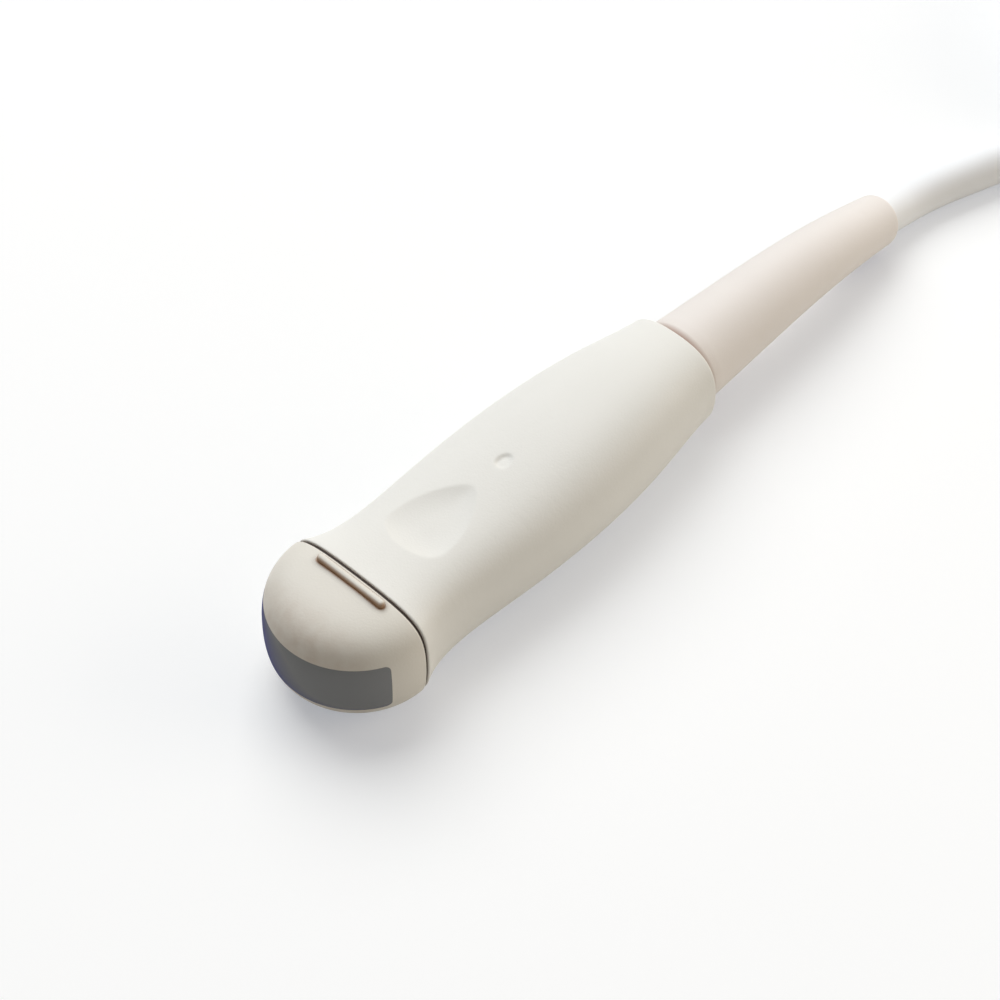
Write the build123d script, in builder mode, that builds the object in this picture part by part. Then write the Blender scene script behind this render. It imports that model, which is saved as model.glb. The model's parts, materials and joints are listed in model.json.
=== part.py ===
from build123d import *
import os
from math import asin, cos, radians, sin, tan

# Micro-convex ultrasound probe: a rounded nose with the curved array behind a rubber lens,
# a one-piece handle, a tapered strain relief and a cable that is folded into a tied hank
# and ends in a plug with a quarter-turn lock.
# Frame: X runs from the nose to the cable, Y across the array, Z up; the probe lies on its
# flat side, and the origin is under the middle of the probe without its cable.

# Nose and seam
nose_radius = 14.45
nose_half_height = 9.4
nose_fullness = 0.87
nose_skirt = 0.65
nose_edge_round = 0.4
nose_cavity_wall = 3.2
nose_cavity_half_height = 7.2
nose_rear_wall = 1.8
seam_gap = 0.45
seal_recess = 0.45
bar_length = 14.0
bar_width = 1.3
bar_height = 0.75
bar_from_seam = 1.6
bar_round = 0.6

# Spigot of the nose inside the handle
spigot_length = 3.4
spigot_wall = 1.3
spigot_clearance = 0.1

# Handle sections, from the seam to the rear rim
handle_length = 71.3
handle_wall = 1.8
flare_from_seam = 4.0
flare_inset = 1.5
flare_drop = 0.35
flare_fullness = 0.84
neck_from_seam = 9.5
neck_half_width = 12.3
neck_half_height = 8.85
neck_fullness = 0.82
palm_from_seam = 24.0
palm_half_width = 13.1
palm_half_height = 9.2
palm_fullness = 0.77
belly_from_rear = 24.0
belly_half_width = 12.8
belly_half_height = 10.15
belly_fullness = 0.73
shoulder_from_rear = 9.0
shoulder_half_width = 10.6
shoulder_half_height = 9.6
shoulder_fullness = 0.72
rim_half_width = 9.4
rim_half_height = 8.5
rim_fullness = 0.70
rim_round = 0.6
handle_front_round = 0.25

# Thumb recess, a rounded triangle, and drop-shaped index dimple on top of the handle
outline_front_share = 0.12
outline_side_along = 0.6
outline_side_across = 0.8
recess_from_seam = 8.8
recess_length = 15.9
recess_half_width = 5.6
recess_depth = 0.7
recess_rise = 0.3
recess_lean = 1.3
recess_corner = 2.4
recess_slope = 50.0
recess_lip_round = 0.8
recess_floor_round = 0.6
dimple_from_seam = 29.9
dimple_half_width = 1.3
dimple_depth = 0.4
dimple_tail = 9.0
dimple_lean = 2.4

# Strain relief
boot_length = 54.6
boot_straight = 21.0
boot_bend = 15.8
boot_bend_roll = 98.7
boot_bend_sections = 3
boot_base_half_width = 7.9
boot_base_half_height = 7.7
boot_end_radius = 4.65
boot_end_round = 1.0
boot_gap = 0.35
boot_neck_radius = 6.5
boot_flange_radius = 7.3
boot_flange_thickness = 3.0
boot_clearance = 0.1
rear_lip = 2.2
mouth_depth = 3.0

# Cable
cable_diameter = 7.0
cable_clearance = 0.05
cable_first_run = 11.6
cable_corner_share = 0.45
jacket_from_seam = 45.0

# Acoustic stack, from the lens inwards
window_half_height = 4.75
window_half_angle = 66.5
window_corner = 1.0
lens_thickness = 1.2
outer_matching_thickness = 0.25
inner_matching_thickness = 0.3
piezo_thickness = 0.4
flex_thickness = 0.12
bond_line = 0.03
array_half_height = 4.2
array_half_angle = 62.0
element_count = 48
kerf = 0.08
backing_rear = 3.0
finger_count = 7
finger_slit = 0.4
finger_slit_length = 4.0

# Chassis, boards and shields inside the handle
chassis_half_width = 7.75
chassis_thickness = 2.4
chassis_flange = 1.5
chassis_flange_half_width = 5.4
chassis_end = 38.0
prong_width = 2.2
prong_inset = 1.25
board_start = 9.0
board_length = 28.0
board_half_width = 7.0
board_thickness = 0.8
board_connector_length = 3.5
board_connector_height = 1.2
board_connector_inset = 0.5
flex_tail_half_width = 6.0
flex_insertion = 2.0
slot_clearance = 0.1
chip_size = 6.0
chip_height = 0.9
chip_pitch = 9.0
standoff_radius = 1.6
standoff_from_end = 6.0
standoff_from_side = 2.5
board_screw_radius = 0.78
board_screw_head_radius = 1.35
board_screw_head_height = 0.8
screw_clearance = 0.05
shield_start = 6.5
shield_end = 40.0
shield_height = 5.7
shield_sheet = 0.25
shield_corner = 1.2
ribbon_core_half_width = 2.7
ribbon_core_height = 2.2
ribbon_half_width = 5.5
ribbon_thickness = 0.7
ribbon_lap = 4.0

# Cable clamp
clamp_length = 8.0
clamp_half_width = 6.8
clamp_height = 5.4
clamp_from_jacket = 1.0
ferrule_wall = 0.45
clamp_screw_radius = 0.9
clamp_screw_head_radius = 1.5
clamp_screw_head_height = 1.1

# Hank of cable, laid in line with the probe just past its cable's visible stretch
hank_x = 151.7
hank_y = -10.0
hank_straight = 77.0
hank_columns = 2
hank_layers = 3
fold_diameters = 3.0
hank_edge_round = 3.0
tie_from_fold = 25.0
tie_width = 16.0
tie_thickness = 0.8

# Plug lying on the hank
plug_from_fold = 72.0
plug_length = 50.0
plug_height = 26.0
plug_front_depth = 20.0
plug_back_depth = 22.0
plug_wall = 2.0
plug_face = 2.5
plug_corner = 5.0
plug_edge_round = 1.5
plug_side_offset = 2.0
entry_from_face = 11.0
post_radius = 3.1
post_from_wall = 2.6
plug_screw_radius = 1.1
plug_screw_head_radius = 2.0
plug_screw_head_height = 1.4
plug_screw_bite = 8.0
contact_width = 32.0
contact_height = 15.0
contact_depth = 9.0
contact_recess = 1.0
contact_flange = 2.0
contact_flange_height = 9.0
contact_clearance = 0.1
socket_size = 0.9
socket_pitch = 2.4
socket_columns = 5
socket_rows = 4
socket_depth = 2.0
socket_bank_offset = 10.0
plug_board_thickness = 1.2
lock_radius = 3.0
lock_clearance = 0.08
lock_boss_wall = 2.5
lock_boss_length = 8.0
lock_reach = 5.0
key_length = 9.0
key_width = 3.4
key_thickness = 3.0
clip_radius = 5.0
clip_thickness = 1.0
clip_groove = 0.5
knob_radius = 11.0
knob_disc = 3.5
knob_height = 9.5
knob_grip = 6.0
knob_rim = 0.8
knob_gap = 0.3
plug_boot_length = 13.5
plug_boot_radius = 7.0
plug_boot_end_radius = 4.9
plug_boot_neck = 4.4
plug_boot_flange_radius = 5.2
plug_boot_flange = 2.0

# Places worked out from the sizes
cable_radius = cable_diameter / 2
bend = radians(boot_bend)
roll = radians(boot_bend_roll)
boot_arc_radius = (boot_length - boot_straight) / bend
boot_edge_radius = boot_end_radius - boot_end_round
boot_tip = boot_edge_radius * sin(bend) + boot_end_round * (1 - cos(bend))
boot_reach = boot_straight + boot_arc_radius * sin(bend) + boot_tip
overall_length = nose_radius + nose_skirt + handle_length + boot_reach
seam_x = -overall_length / 2 + nose_radius + nose_skirt
array_x = seam_x - nose_skirt
nose_rear_x = seam_x - seam_gap / 2
handle_front_x = seam_x + seam_gap / 2
rear_x = seam_x + handle_length
axis_z = belly_half_height
flare_half_width = nose_radius - flare_inset
flare_half_height = nose_half_height - flare_drop
spigot_half_width = flare_half_width - handle_wall - spigot_clearance
spigot_half_height = flare_half_height - handle_wall - spigot_clearance
lens_inner = nose_radius - lens_thickness
outer_matching_radius = lens_inner - bond_line
inner_matching_radius = outer_matching_radius - outer_matching_thickness - bond_line
piezo_radius = inner_matching_radius - inner_matching_thickness - bond_line
flex_radius = piezo_radius - piezo_thickness - bond_line
backing_radius = flex_radius - flex_thickness - bond_line
flex_level = array_half_height + bond_line
board_top = flex_level + (flex_thickness - board_connector_height) / 2
board_bottom = board_top - board_thickness
standoff_pitch_x = board_length - 2 * standoff_from_end
standoff_pitch_y = 2 * (board_half_width - standoff_from_side)
prong_y = chassis_half_width - prong_inset - prong_width / 2
chassis_half = chassis_thickness / 2
ferrule_radius = cable_radius + ferrule_wall
hank_inner = fold_diameters * cable_diameter - cable_radius
hank_outer = hank_inner + hank_columns * cable_diameter
hank_height = hank_layers * cable_diameter
plug_x = hank_x + plug_from_fold
plug_mid_x = plug_x + plug_length / 2
plug_depth = plug_front_depth + plug_back_depth
plug_face_y = hank_y - plug_side_offset - plug_depth / 2
plug_split_y = plug_face_y + plug_front_depth
plug_back_y = plug_face_y + plug_depth
plug_mid_z = hank_height + plug_height / 2
entry_y = plug_face_y + entry_from_face


def cross_plane(x):
    """Plane square to the probe's axis, with Y across and Z up."""
    return Plane(origin=(x, 0, axis_z), x_dir=(0, 1, 0), z_dir=(1, 0, 0))


def boot_plane(distance):
    """Plane square to the strain relief's bent centre line, counted from the handle's rim."""
    turn = max(0, distance - boot_straight) / boot_arc_radius
    along = min(distance, boot_straight) + boot_arc_radius * sin(turn)
    aside = boot_arc_radius * (1 - cos(turn))
    origin = Vector(rear_x + along, -aside * cos(roll), axis_z - aside * sin(roll))
    heading = Vector(cos(turn), -sin(turn) * cos(roll), -sin(turn) * sin(roll))
    across = Vector(0, 1, 0) - heading * heading.Y
    return Plane(origin=origin, x_dir=across, z_dir=heading)


def plug_plane(y):
    """Plane square to the plug's mating direction, with X across and Z up, facing +Y."""
    return Plane(origin=(plug_mid_x, y, plug_mid_z), x_dir=(-1, 0, 0), z_dir=(0, 1, 0))


def oval(half_width, half_height, fullness):
    """Fill the open sketch with an oval of four quarter curves: 0.55 is an ellipse, 1 a box."""
    tips = [Vector(half_width, 0), Vector(0, half_height)]
    tips += [Vector(-half_width, 0), Vector(0, -half_height)]
    with BuildLine() as outline:
        for start, end in zip(tips, tips[1:] + tips[:1]):
            Bezier(start, start + end * fullness, end + start * fullness, end)
    make_face(outline.edges())


def half_oval(half_width, half_height, fullness):
    """Fill the open sketch with the +X half of an oval, for turning about its flat side."""
    side = Vector(half_width, 0)
    top = Vector(0, half_height)
    with BuildLine() as outline:
        Bezier(top * -1, top * -1 + side * fullness, side - top * fullness, side)
        Bezier(side, side + top * fullness, top + side * fullness, top)
        Line(top, top * -1)
    make_face(outline.edges())


def sector(inner_radius, outer_radius, half_angle):
    """Fill the open sketch with a ring sector that faces the nose, about the array's centre."""
    centre = (array_x, 0)
    first = 180 - half_angle
    with BuildLine() as outline:
        outer = CenterArc(centre, outer_radius, first, 2 * half_angle)
        inner = CenterArc(centre, inner_radius, first, 2 * half_angle)
        Line(outer @ 0, inner @ 0)
        Line(outer @ 1, inner @ 1)
    make_face(outline.edges())


def fan(outer_radius, half_angle, rear):
    """Fill the open sketch with a pie slice that faces the nose, cut off behind."""
    with BuildLine() as outline:
        rim = CenterArc((array_x, 0), outer_radius, 180 - half_angle, 2 * half_angle)
        Line(rim @ 0, (array_x, 0))
        Line(rim @ 1, (array_x, 0))
    make_face(outline.edges())
    with Locations((array_x, 0)):
        Rectangle(2 * rear, 4 * outer_radius, mode=Mode.SUBTRACT)


def radial_edges(builder):
    """Straight edges of a sector that run from its inner to its outer radius."""
    straight = builder.edges().filter_by(GeomType.LINE)
    return straight - straight.filter_by(Axis.Z)


def thumb_outline(length, half_width, corner):
    """Fill the open sketch with a rounded triangle about its middle, tip to the rear."""
    front_x = -length / 2
    tip = (length / 2, 0)
    corner_x = front_x + length * outline_front_share
    side_x = front_x + length * outline_side_along
    side_y = half_width * outline_side_across
    with BuildLine() as outline:
        ThreePointArc((corner_x, -half_width), (front_x, 0), (corner_x, half_width))
        ThreePointArc((corner_x, half_width), (side_x, side_y), tip)
        ThreePointArc(tip, (side_x, -side_y), (corner_x, -half_width))
    face = make_face(outline.edges())
    fillet(face.vertices(), corner)


def top_plane(builder, middle_x, rise, lean):
    """Plane a little above the part's top at one place on the axis, leaning back with it."""
    upwards = Axis((middle_x, 0, axis_z), (0, 0, 1))
    hits = builder.part.find_intersection_points(upwards)
    top_z = max(point.Z for point, normal in hits)
    along = (cos(radians(lean)), 0, sin(radians(lean)))
    normal = (-sin(radians(lean)), 0, cos(radians(lean)))
    return Plane(origin=(middle_x, 0, top_z + rise), x_dir=along, z_dir=normal)


pieces = {}

# Outer form of the nose, before it is hollowed
with BuildPart() as nose_form:
    with BuildSketch(cross_plane(array_x)):
        half_oval(nose_radius, nose_half_height, nose_fullness)
    revolve(axis=Axis((array_x, 0, 0), (0, 0, 1)), revolution_arc=180)
    with BuildSketch(cross_plane(array_x)):
        oval(nose_radius, nose_half_height, nose_fullness)
    extrude(amount=nose_rear_x - array_x)
    fillet(nose_form.edges().group_by(Axis.X)[-1], nose_edge_round)

# Opening for the lens, with rounded corners
with BuildPart() as window_form:
    with BuildSketch(Plane.XY.offset(axis_z - window_half_height)):
        sector(nose_radius - 2 * nose_cavity_wall, 2 * nose_radius, window_half_angle)
    extrude(amount=2 * window_half_height)
    fillet(radial_edges(window_form), window_corner)

with BuildPart() as nose_housing:
    add(nose_form.part)
    with BuildSketch(cross_plane(nose_rear_x)):
        oval(spigot_half_width, spigot_half_height, flare_fullness)
    extrude(amount=seam_gap + spigot_length)
    with BuildSketch(Plane.XY.offset(axis_z + nose_half_height - nose_cavity_wall / 2)):
        with Locations((seam_x - bar_from_seam, 0)):
            SlotOverall(bar_length, bar_width, rotation=90)
    extrude(amount=nose_cavity_wall / 2 + bar_height)
    fillet(nose_housing.edges().group_by(Axis.Z)[-1], bar_round)
    with BuildSketch(Plane.XY.offset(axis_z - nose_cavity_half_height)):
        with Locations((array_x, 0)):
            Circle(nose_radius - nose_cavity_wall)
            Rectangle(2 * nose_rear_wall, 4 * nose_radius, mode=Mode.SUBTRACT)
        with Locations((array_x + nose_radius, 0)):
            Rectangle(2 * nose_radius, 4 * nose_radius, mode=Mode.SUBTRACT)
    extrude(amount=2 * nose_cavity_half_height, mode=Mode.SUBTRACT)
    with BuildSketch(cross_plane(array_x - nose_rear_wall)):
        oval(spigot_half_width - spigot_wall, spigot_half_height - spigot_wall, flare_fullness)
    extrude(amount=nose_rear_wall + nose_skirt + seam_gap + spigot_length, mode=Mode.SUBTRACT)
    add(window_form.part, mode=Mode.SUBTRACT)
pieces["nose_housing"] = nose_housing

with BuildPart() as acoustic_lens:
    lens_half_height = window_half_height - bond_line
    with BuildSketch(Plane.XY.offset(axis_z - lens_half_height)):
        sector(lens_inner, 2 * nose_radius, window_half_angle - bond_line)
    extrude(amount=2 * lens_half_height)
    fillet(radial_edges(acoustic_lens), window_corner)
    add(nose_form.part, mode=Mode.INTERSECT)
pieces["acoustic_lens"] = acoustic_lens


def array_layer(outer_radius, thickness):
    """One curved layer of the acoustic stack."""
    with BuildPart() as layer:
        with BuildSketch(Plane.XY.offset(axis_z - array_half_height)):
            sector(outer_radius - thickness, outer_radius, array_half_angle)
        extrude(amount=2 * array_half_height)
    return layer


pieces["outer_matching_layer"] = array_layer(outer_matching_radius, outer_matching_thickness)
pieces["inner_matching_layer"] = array_layer(inner_matching_radius, inner_matching_thickness)

# Piezo bar diced into elements, with a kerf between neighbours
with BuildPart() as piezo_elements:
    middle_radius = piezo_radius - piezo_thickness / 2
    step = 2 * array_half_angle / element_count
    first_angle = 180 - array_half_angle + step / 2
    sweep_angle = 2 * array_half_angle - step
    with BuildSketch(Plane.XY.offset(axis_z - array_half_height)):
        with Locations((array_x, 0)):
            with PolarLocations(middle_radius, element_count, first_angle, sweep_angle, endpoint=True):
                Rectangle(piezo_thickness, radians(step) * middle_radius - kerf)
    extrude(amount=2 * array_half_height)
pieces["piezo_elements"] = piezo_elements

with BuildPart() as backing_block:
    with BuildSketch(Plane.XY.offset(axis_z - array_half_height)):
        fan(backing_radius, array_half_angle, backing_rear)
    extrude(amount=2 * array_half_height)
pieces["backing_block"] = backing_block

tail_end_x = seam_x + board_start + board_connector_inset + flex_insertion


def flex_circuit(side):
    """Sheet that lies behind the elements, folds over the backing and runs back to its board."""
    with BuildPart() as flex:
        with BuildSketch(Plane.XY.offset(axis_z + side * bond_line)):
            sector(flex_radius - flex_thickness, flex_radius, array_half_angle)
        extrude(amount=side * (flex_level + flex_thickness - bond_line))
        with BuildSketch(Plane.XY.offset(axis_z + side * flex_level)):
            fan(flex_radius, array_half_angle, backing_rear)
            tail_start_x = array_x - backing_rear - flex_tail_half_width / 2
            with Locations(((tail_start_x + tail_end_x) / 2, 0)):
                Rectangle(tail_end_x - tail_start_x, 2 * flex_tail_half_width)
            slit_radius = flex_radius - 2 * flex_thickness - finger_slit_length / 2
            slit_span = 2 * array_half_angle * (finger_count - 1) / (finger_count + 1)
            with Locations((array_x, 0)):
                with PolarLocations(slit_radius, finger_count, 180 - slit_span / 2, slit_span, endpoint=True):
                    SlotOverall(finger_slit_length, finger_slit, mode=Mode.SUBTRACT)
        extrude(amount=side * flex_thickness)
    return flex


def circuit_board(side):
    """Board with two chips, on standoffs beside the chassis."""
    with BuildPart() as board:
        board_mid_x = seam_x + board_start + board_length / 2
        with BuildSketch(Plane.XY.offset(axis_z + side * board_bottom)):
            with Locations((board_mid_x, 0)):
                Rectangle(board_length, 2 * board_half_width)
                with GridLocations(standoff_pitch_x, standoff_pitch_y, 2, 2):
                    Circle(board_screw_radius + screw_clearance, mode=Mode.SUBTRACT)
        extrude(amount=side * board_thickness)
        with BuildSketch(Plane.XY.offset(axis_z + side * board_top)):
            with Locations((board_mid_x, 0)):
                with GridLocations(chip_pitch, 0, 2, 1):
                    Rectangle(chip_size, chip_size)
        extrude(amount=side * chip_height)
    return board


def board_connector(side):
    """Low connector at the board's front end, slotted for the flex circuit."""
    front_x = seam_x + board_start + board_connector_inset
    with BuildPart() as connector:
        with BuildSketch(Plane.XY.offset(axis_z + side * board_top)):
            with Locations((front_x + board_connector_length / 2, 0)):
                Rectangle(board_connector_length, 2 * board_half_width)
        extrude(amount=side * board_connector_height)
        with BuildSketch(Plane.XY.offset(axis_z + side * (flex_level - slot_clearance))):
            with Locations((front_x, 0)):
                Rectangle(2 * (flex_insertion + slot_clearance), 2 * (flex_tail_half_width + slot_clearance))
        extrude(amount=side * (flex_thickness + 2 * slot_clearance), mode=Mode.SUBTRACT)
    return connector


def shield_can(side):
    """Folded sheet over one board, with its edges along the chassis."""
    with BuildPart() as can:
        with BuildSketch(cross_plane(seam_x + shield_start)):
            outer_half = chassis_half_width + shield_sheet
            RectangleRounded(2 * outer_half, 2 * shield_height, shield_corner)
            inner_corner = shield_corner - shield_sheet
            inner_height = shield_height - shield_sheet
            RectangleRounded(2 * chassis_half_width, 2 * inner_height, inner_corner, mode=Mode.SUBTRACT)
            with Locations((0, -side * shield_height)):
                Rectangle(4 * outer_half, 2 * shield_height, mode=Mode.SUBTRACT)
        extrude(amount=shield_end - shield_start)
    return can


def coax_ribbon(side):
    """Coax cores that leave the jacket, spread out flat and lap onto one board."""
    lap_end_x = seam_x + board_start + board_length
    with BuildPart() as ribbon:
        with BuildSketch(cross_plane(seam_x + jacket_from_seam)):
            with Locations((0, side * (ribbon_core_height / 2 + ribbon_thickness / 2))):
                Rectangle(2 * ribbon_core_half_width, ribbon_core_height)
        with BuildSketch(cross_plane(lap_end_x + ribbon_thickness / 2)):
            with Locations((0, side * (board_top + ribbon_thickness / 2))):
                Rectangle(2 * ribbon_half_width, ribbon_thickness)
        loft()
        with BuildSketch(cross_plane(lap_end_x + ribbon_thickness / 2)):
            with Locations((0, side * (board_top + ribbon_thickness / 2))):
                Rectangle(2 * ribbon_half_width, ribbon_thickness)
        extrude(amount=-ribbon_lap)
    return ribbon


def clamp_half(side):
    """Half of the block that grips the ferrule and the chassis prongs."""
    clamp_x = seam_x + jacket_from_seam + clamp_from_jacket
    with BuildPart() as half:
        with BuildSketch(cross_plane(clamp_x)):
            with Locations((0, side * (chassis_half + clamp_height) / 2)):
                Rectangle(2 * clamp_half_width, clamp_height - chassis_half)
            Circle(ferrule_radius + cable_clearance, mode=Mode.SUBTRACT)
        extrude(amount=clamp_length)
        with BuildSketch(Plane.XY.offset(axis_z)):
            with Locations((clamp_x + clamp_length / 2, 0)):
                with GridLocations(0, 2 * prong_y, 1, 2):
                    Circle(clamp_screw_radius + screw_clearance)
        extrude(amount=side * 2 * clamp_height, mode=Mode.SUBTRACT)
    return half


for name, side in (("upper", 1), ("lower", -1)):
    pieces[name + "_flex_circuit"] = flex_circuit(side)
    pieces[name + "_board"] = circuit_board(side)
    pieces[name + "_board_connector"] = board_connector(side)
    pieces[name + "_shield"] = shield_can(side)
    pieces[name + "_coax_ribbon"] = coax_ribbon(side)
    pieces[name + "_cable_clamp"] = clamp_half(side)

# Chassis: flange on the backing, plate between the boards and two prongs into the clamp
with BuildPart() as chassis:
    flange_x = array_x - backing_rear
    with BuildSketch(cross_plane(flange_x)):
        Rectangle(2 * chassis_flange_half_width, 2 * (array_half_height - bond_line))
    extrude(amount=chassis_flange)
    plate_end_x = seam_x + chassis_end
    prong_end_x = seam_x + jacket_from_seam + clamp_from_jacket + clamp_length
    with BuildSketch(Plane.XY.offset(axis_z - chassis_half)):
        with Locations(((flange_x + plate_end_x) / 2, 0)):
            Rectangle(plate_end_x - flange_x, 2 * chassis_half_width)
        with Locations(((plate_end_x + prong_end_x) / 2, 0)):
            with GridLocations(0, 2 * prong_y, 1, 2):
                Rectangle(prong_end_x - plate_end_x, prong_width)
        with Locations((prong_end_x - clamp_length / 2, 0)):
            with GridLocations(0, 2 * prong_y, 1, 2):
                Circle(clamp_screw_radius + screw_clearance, mode=Mode.SUBTRACT)
    extrude(amount=chassis_thickness)
    with BuildSketch(Plane.XY.offset(axis_z - board_bottom)):
        with Locations((seam_x + board_start + board_length / 2, 0)):
            with GridLocations(standoff_pitch_x, standoff_pitch_y, 2, 2):
                Circle(standoff_radius)
    extrude(amount=2 * board_bottom)
    with BuildSketch(Plane.XY.offset(axis_z - board_bottom)):
        with Locations((seam_x + board_start + board_length / 2, 0)):
            with GridLocations(standoff_pitch_x, standoff_pitch_y, 2, 2):
                Circle(board_screw_radius + screw_clearance)
    extrude(amount=2 * board_bottom, mode=Mode.SUBTRACT)
pieces["chassis"] = chassis

with BuildPart() as board_screws:
    for side in (1, -1):
        with BuildSketch(Plane.XY.offset(axis_z + side * bond_line)):
            with Locations((seam_x + board_start + board_length / 2, 0)):
                with GridLocations(standoff_pitch_x, standoff_pitch_y, 2, 2):
                    Circle(board_screw_radius)
        extrude(amount=side * (board_top - bond_line))
        with BuildSketch(Plane.XY.offset(axis_z + side * board_top)):
            with Locations((seam_x + board_start + board_length / 2, 0)):
                with GridLocations(standoff_pitch_x, standoff_pitch_y, 2, 2):
                    Circle(board_screw_head_radius)
        extrude(amount=side * board_screw_head_height)
pieces["board_screws"] = board_screws

with BuildPart() as clamp_screws:
    screw_x = prong_end_x - clamp_length / 2
    with BuildSketch(Plane.XY.offset(axis_z - clamp_height)):
        with Locations((screw_x, 0)):
            with GridLocations(0, 2 * prong_y, 1, 2):
                Circle(clamp_screw_radius)
    extrude(amount=2 * clamp_height)
    with BuildSketch(Plane.XY.offset(axis_z + clamp_height)):
        with Locations((screw_x, 0)):
            with GridLocations(0, 2 * prong_y, 1, 2):
                Circle(clamp_screw_head_radius)
    extrude(amount=clamp_screw_head_height)
pieces["clamp_screws"] = clamp_screws

with BuildPart() as nose_seal:
    with BuildSketch(cross_plane(nose_rear_x)):
        oval(nose_radius - seal_recess, nose_half_height - seal_recess, nose_fullness)
    extrude(amount=seam_gap)
    with BuildSketch(cross_plane(nose_rear_x)):
        oval(spigot_half_width + bond_line, spigot_half_height + bond_line, flare_fullness)
    extrude(amount=seam_gap, mode=Mode.SUBTRACT)
pieces["nose_seal"] = nose_seal

# Handle: one moulded sleeve through seven sections, hollow, with a lip that holds the boot
handle_sections = [
    (seam_gap / 2, nose_radius, nose_half_height, nose_fullness),
    (flare_from_seam, flare_half_width, flare_half_height, flare_fullness),
    (neck_from_seam, neck_half_width, neck_half_height, neck_fullness),
    (palm_from_seam, palm_half_width, palm_half_height, palm_fullness),
    (handle_length - belly_from_rear, belly_half_width, belly_half_height, belly_fullness),
    (handle_length - shoulder_from_rear, shoulder_half_width, shoulder_half_height, shoulder_fullness),
    (handle_length, rim_half_width, rim_half_height, rim_fullness),
]
lip_x = rear_x - rear_lip

# Ball with a cone that touches it, which cuts the index dimple
drop_radius = (dimple_half_width**2 + dimple_depth**2) / (2 * dimple_depth)
cone_angle = asin(drop_radius / dimple_tail)
with BuildPart() as drop_form:
    with BuildSketch(Plane.XZ):
        with BuildLine():
            touch = (drop_radius * sin(cone_angle), drop_radius * cos(cone_angle))
            ThreePointArc((-drop_radius, 0), (0, drop_radius), touch)
            Polyline(touch, (dimple_tail, 0), (-drop_radius, 0))
        make_face()
    revolve(axis=Axis.X)

with BuildPart() as handle:
    for distance, half_width, half_height, fullness in handle_sections:
        with BuildSketch(cross_plane(seam_x + distance)):
            oval(half_width, half_height, fullness)
    loft()
    fillet(handle.edges().group_by(Axis.X)[-1], rim_round)
    fillet(handle.edges().group_by(Axis.X)[0], handle_front_round)
    for distance, half_width, half_height, fullness in handle_sections[1:]:
        with BuildSketch(cross_plane(min(seam_x + distance, lip_x))):
            oval(half_width - handle_wall, half_height - handle_wall, fullness)
    loft(mode=Mode.SUBTRACT)
    with BuildSketch(cross_plane(handle_front_x)):
        oval(flare_half_width - handle_wall, flare_half_height - handle_wall, flare_fullness)
    extrude(amount=flare_from_seam, mode=Mode.SUBTRACT)
    with BuildSketch(cross_plane(lip_x)):
        Circle(boot_flange_radius + boot_clearance)
    extrude(amount=-boot_flange_thickness - boot_clearance, mode=Mode.SUBTRACT)
    with BuildSketch(cross_plane(lip_x)):
        Circle(boot_neck_radius + boot_clearance)
    extrude(amount=2 * rear_lip, mode=Mode.SUBTRACT)
    recess_x = seam_x + recess_from_seam + recess_length / 2
    with BuildSketch(top_plane(handle, recess_x, recess_rise, recess_lean)):
        thumb_outline(recess_length, recess_half_width, recess_corner)
    extrude(amount=-recess_rise - recess_depth, taper=recess_slope, mode=Mode.SUBTRACT)
    recess_lip = handle.edges(Select.NEW)
    recess_floor = handle.faces().filter_by(GeomType.PLANE).sort_by(Axis.Z)[-1]
    fillet(recess_floor.edges(), recess_floor_round)
    fillet(recess_lip, recess_lip_round)
    dimple_x = seam_x + dimple_from_seam + dimple_half_width
    dimple_place = top_plane(handle, dimple_x, drop_radius - dimple_depth, dimple_lean)
    with Locations(dimple_place.location):
        add(drop_form.part, mode=Mode.SUBTRACT)
pieces["handle"] = handle

# Strain relief: moulded taper on a bent line, snapped over the handle's lip
with BuildPart() as boot:
    stations = [boot_gap, boot_straight / 2, boot_straight]
    section_step = (boot_length - boot_straight) / boot_bend_sections
    stations += [boot_straight + section_step * (i + 1) for i in range(boot_bend_sections)]
    for distance in stations:
        left = 1 - distance / boot_length
        with BuildSketch(boot_plane(distance)):
            half_width = boot_end_radius + (boot_base_half_width - boot_end_radius) * left
            half_height = boot_end_radius + (boot_base_half_height - boot_end_radius) * left
            Ellipse(half_width, half_height)
    loft()
    fillet(boot.edges().group_by(Axis.X)[-1], boot_end_round)
    with BuildSketch(cross_plane(rear_x + boot_gap)):
        Circle(boot_neck_radius)
    extrude(amount=-boot_gap - rear_lip)
    with BuildSketch(cross_plane(lip_x)):
        Circle(boot_flange_radius)
    extrude(amount=-boot_flange_thickness)
    with BuildLine():
        bore_start = (lip_x - boot_flange_thickness, 0, axis_z)
        Line(bore_start, boot_plane(boot_straight).origin)
        arc_middle = boot_plane((boot_straight + boot_length) / 2).origin
        ThreePointArc(boot_plane(boot_straight).origin, arc_middle, boot_plane(boot_length).origin)
    with BuildSketch(cross_plane(lip_x - boot_flange_thickness)):
        Circle(cable_radius + cable_clearance)
    sweep(mode=Mode.SUBTRACT)
pieces["boot"] = boot

# Held end of the cable, from its stripped jacket to the boot's mouth
mouth = boot_plane(boot_length - mouth_depth)
with BuildPart() as cable_tail:
    with BuildLine():
        jacket_start = (seam_x + jacket_from_seam, 0, axis_z)
        Line(jacket_start, boot_plane(boot_straight).origin)
        arc_middle = boot_plane((boot_straight + boot_length - mouth_depth) / 2).origin
        ThreePointArc(boot_plane(boot_straight).origin, arc_middle, mouth.origin)
    with BuildSketch(cross_plane(seam_x + jacket_from_seam)):
        Circle(cable_radius)
    sweep()
pieces["cable_tail"] = cable_tail

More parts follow.
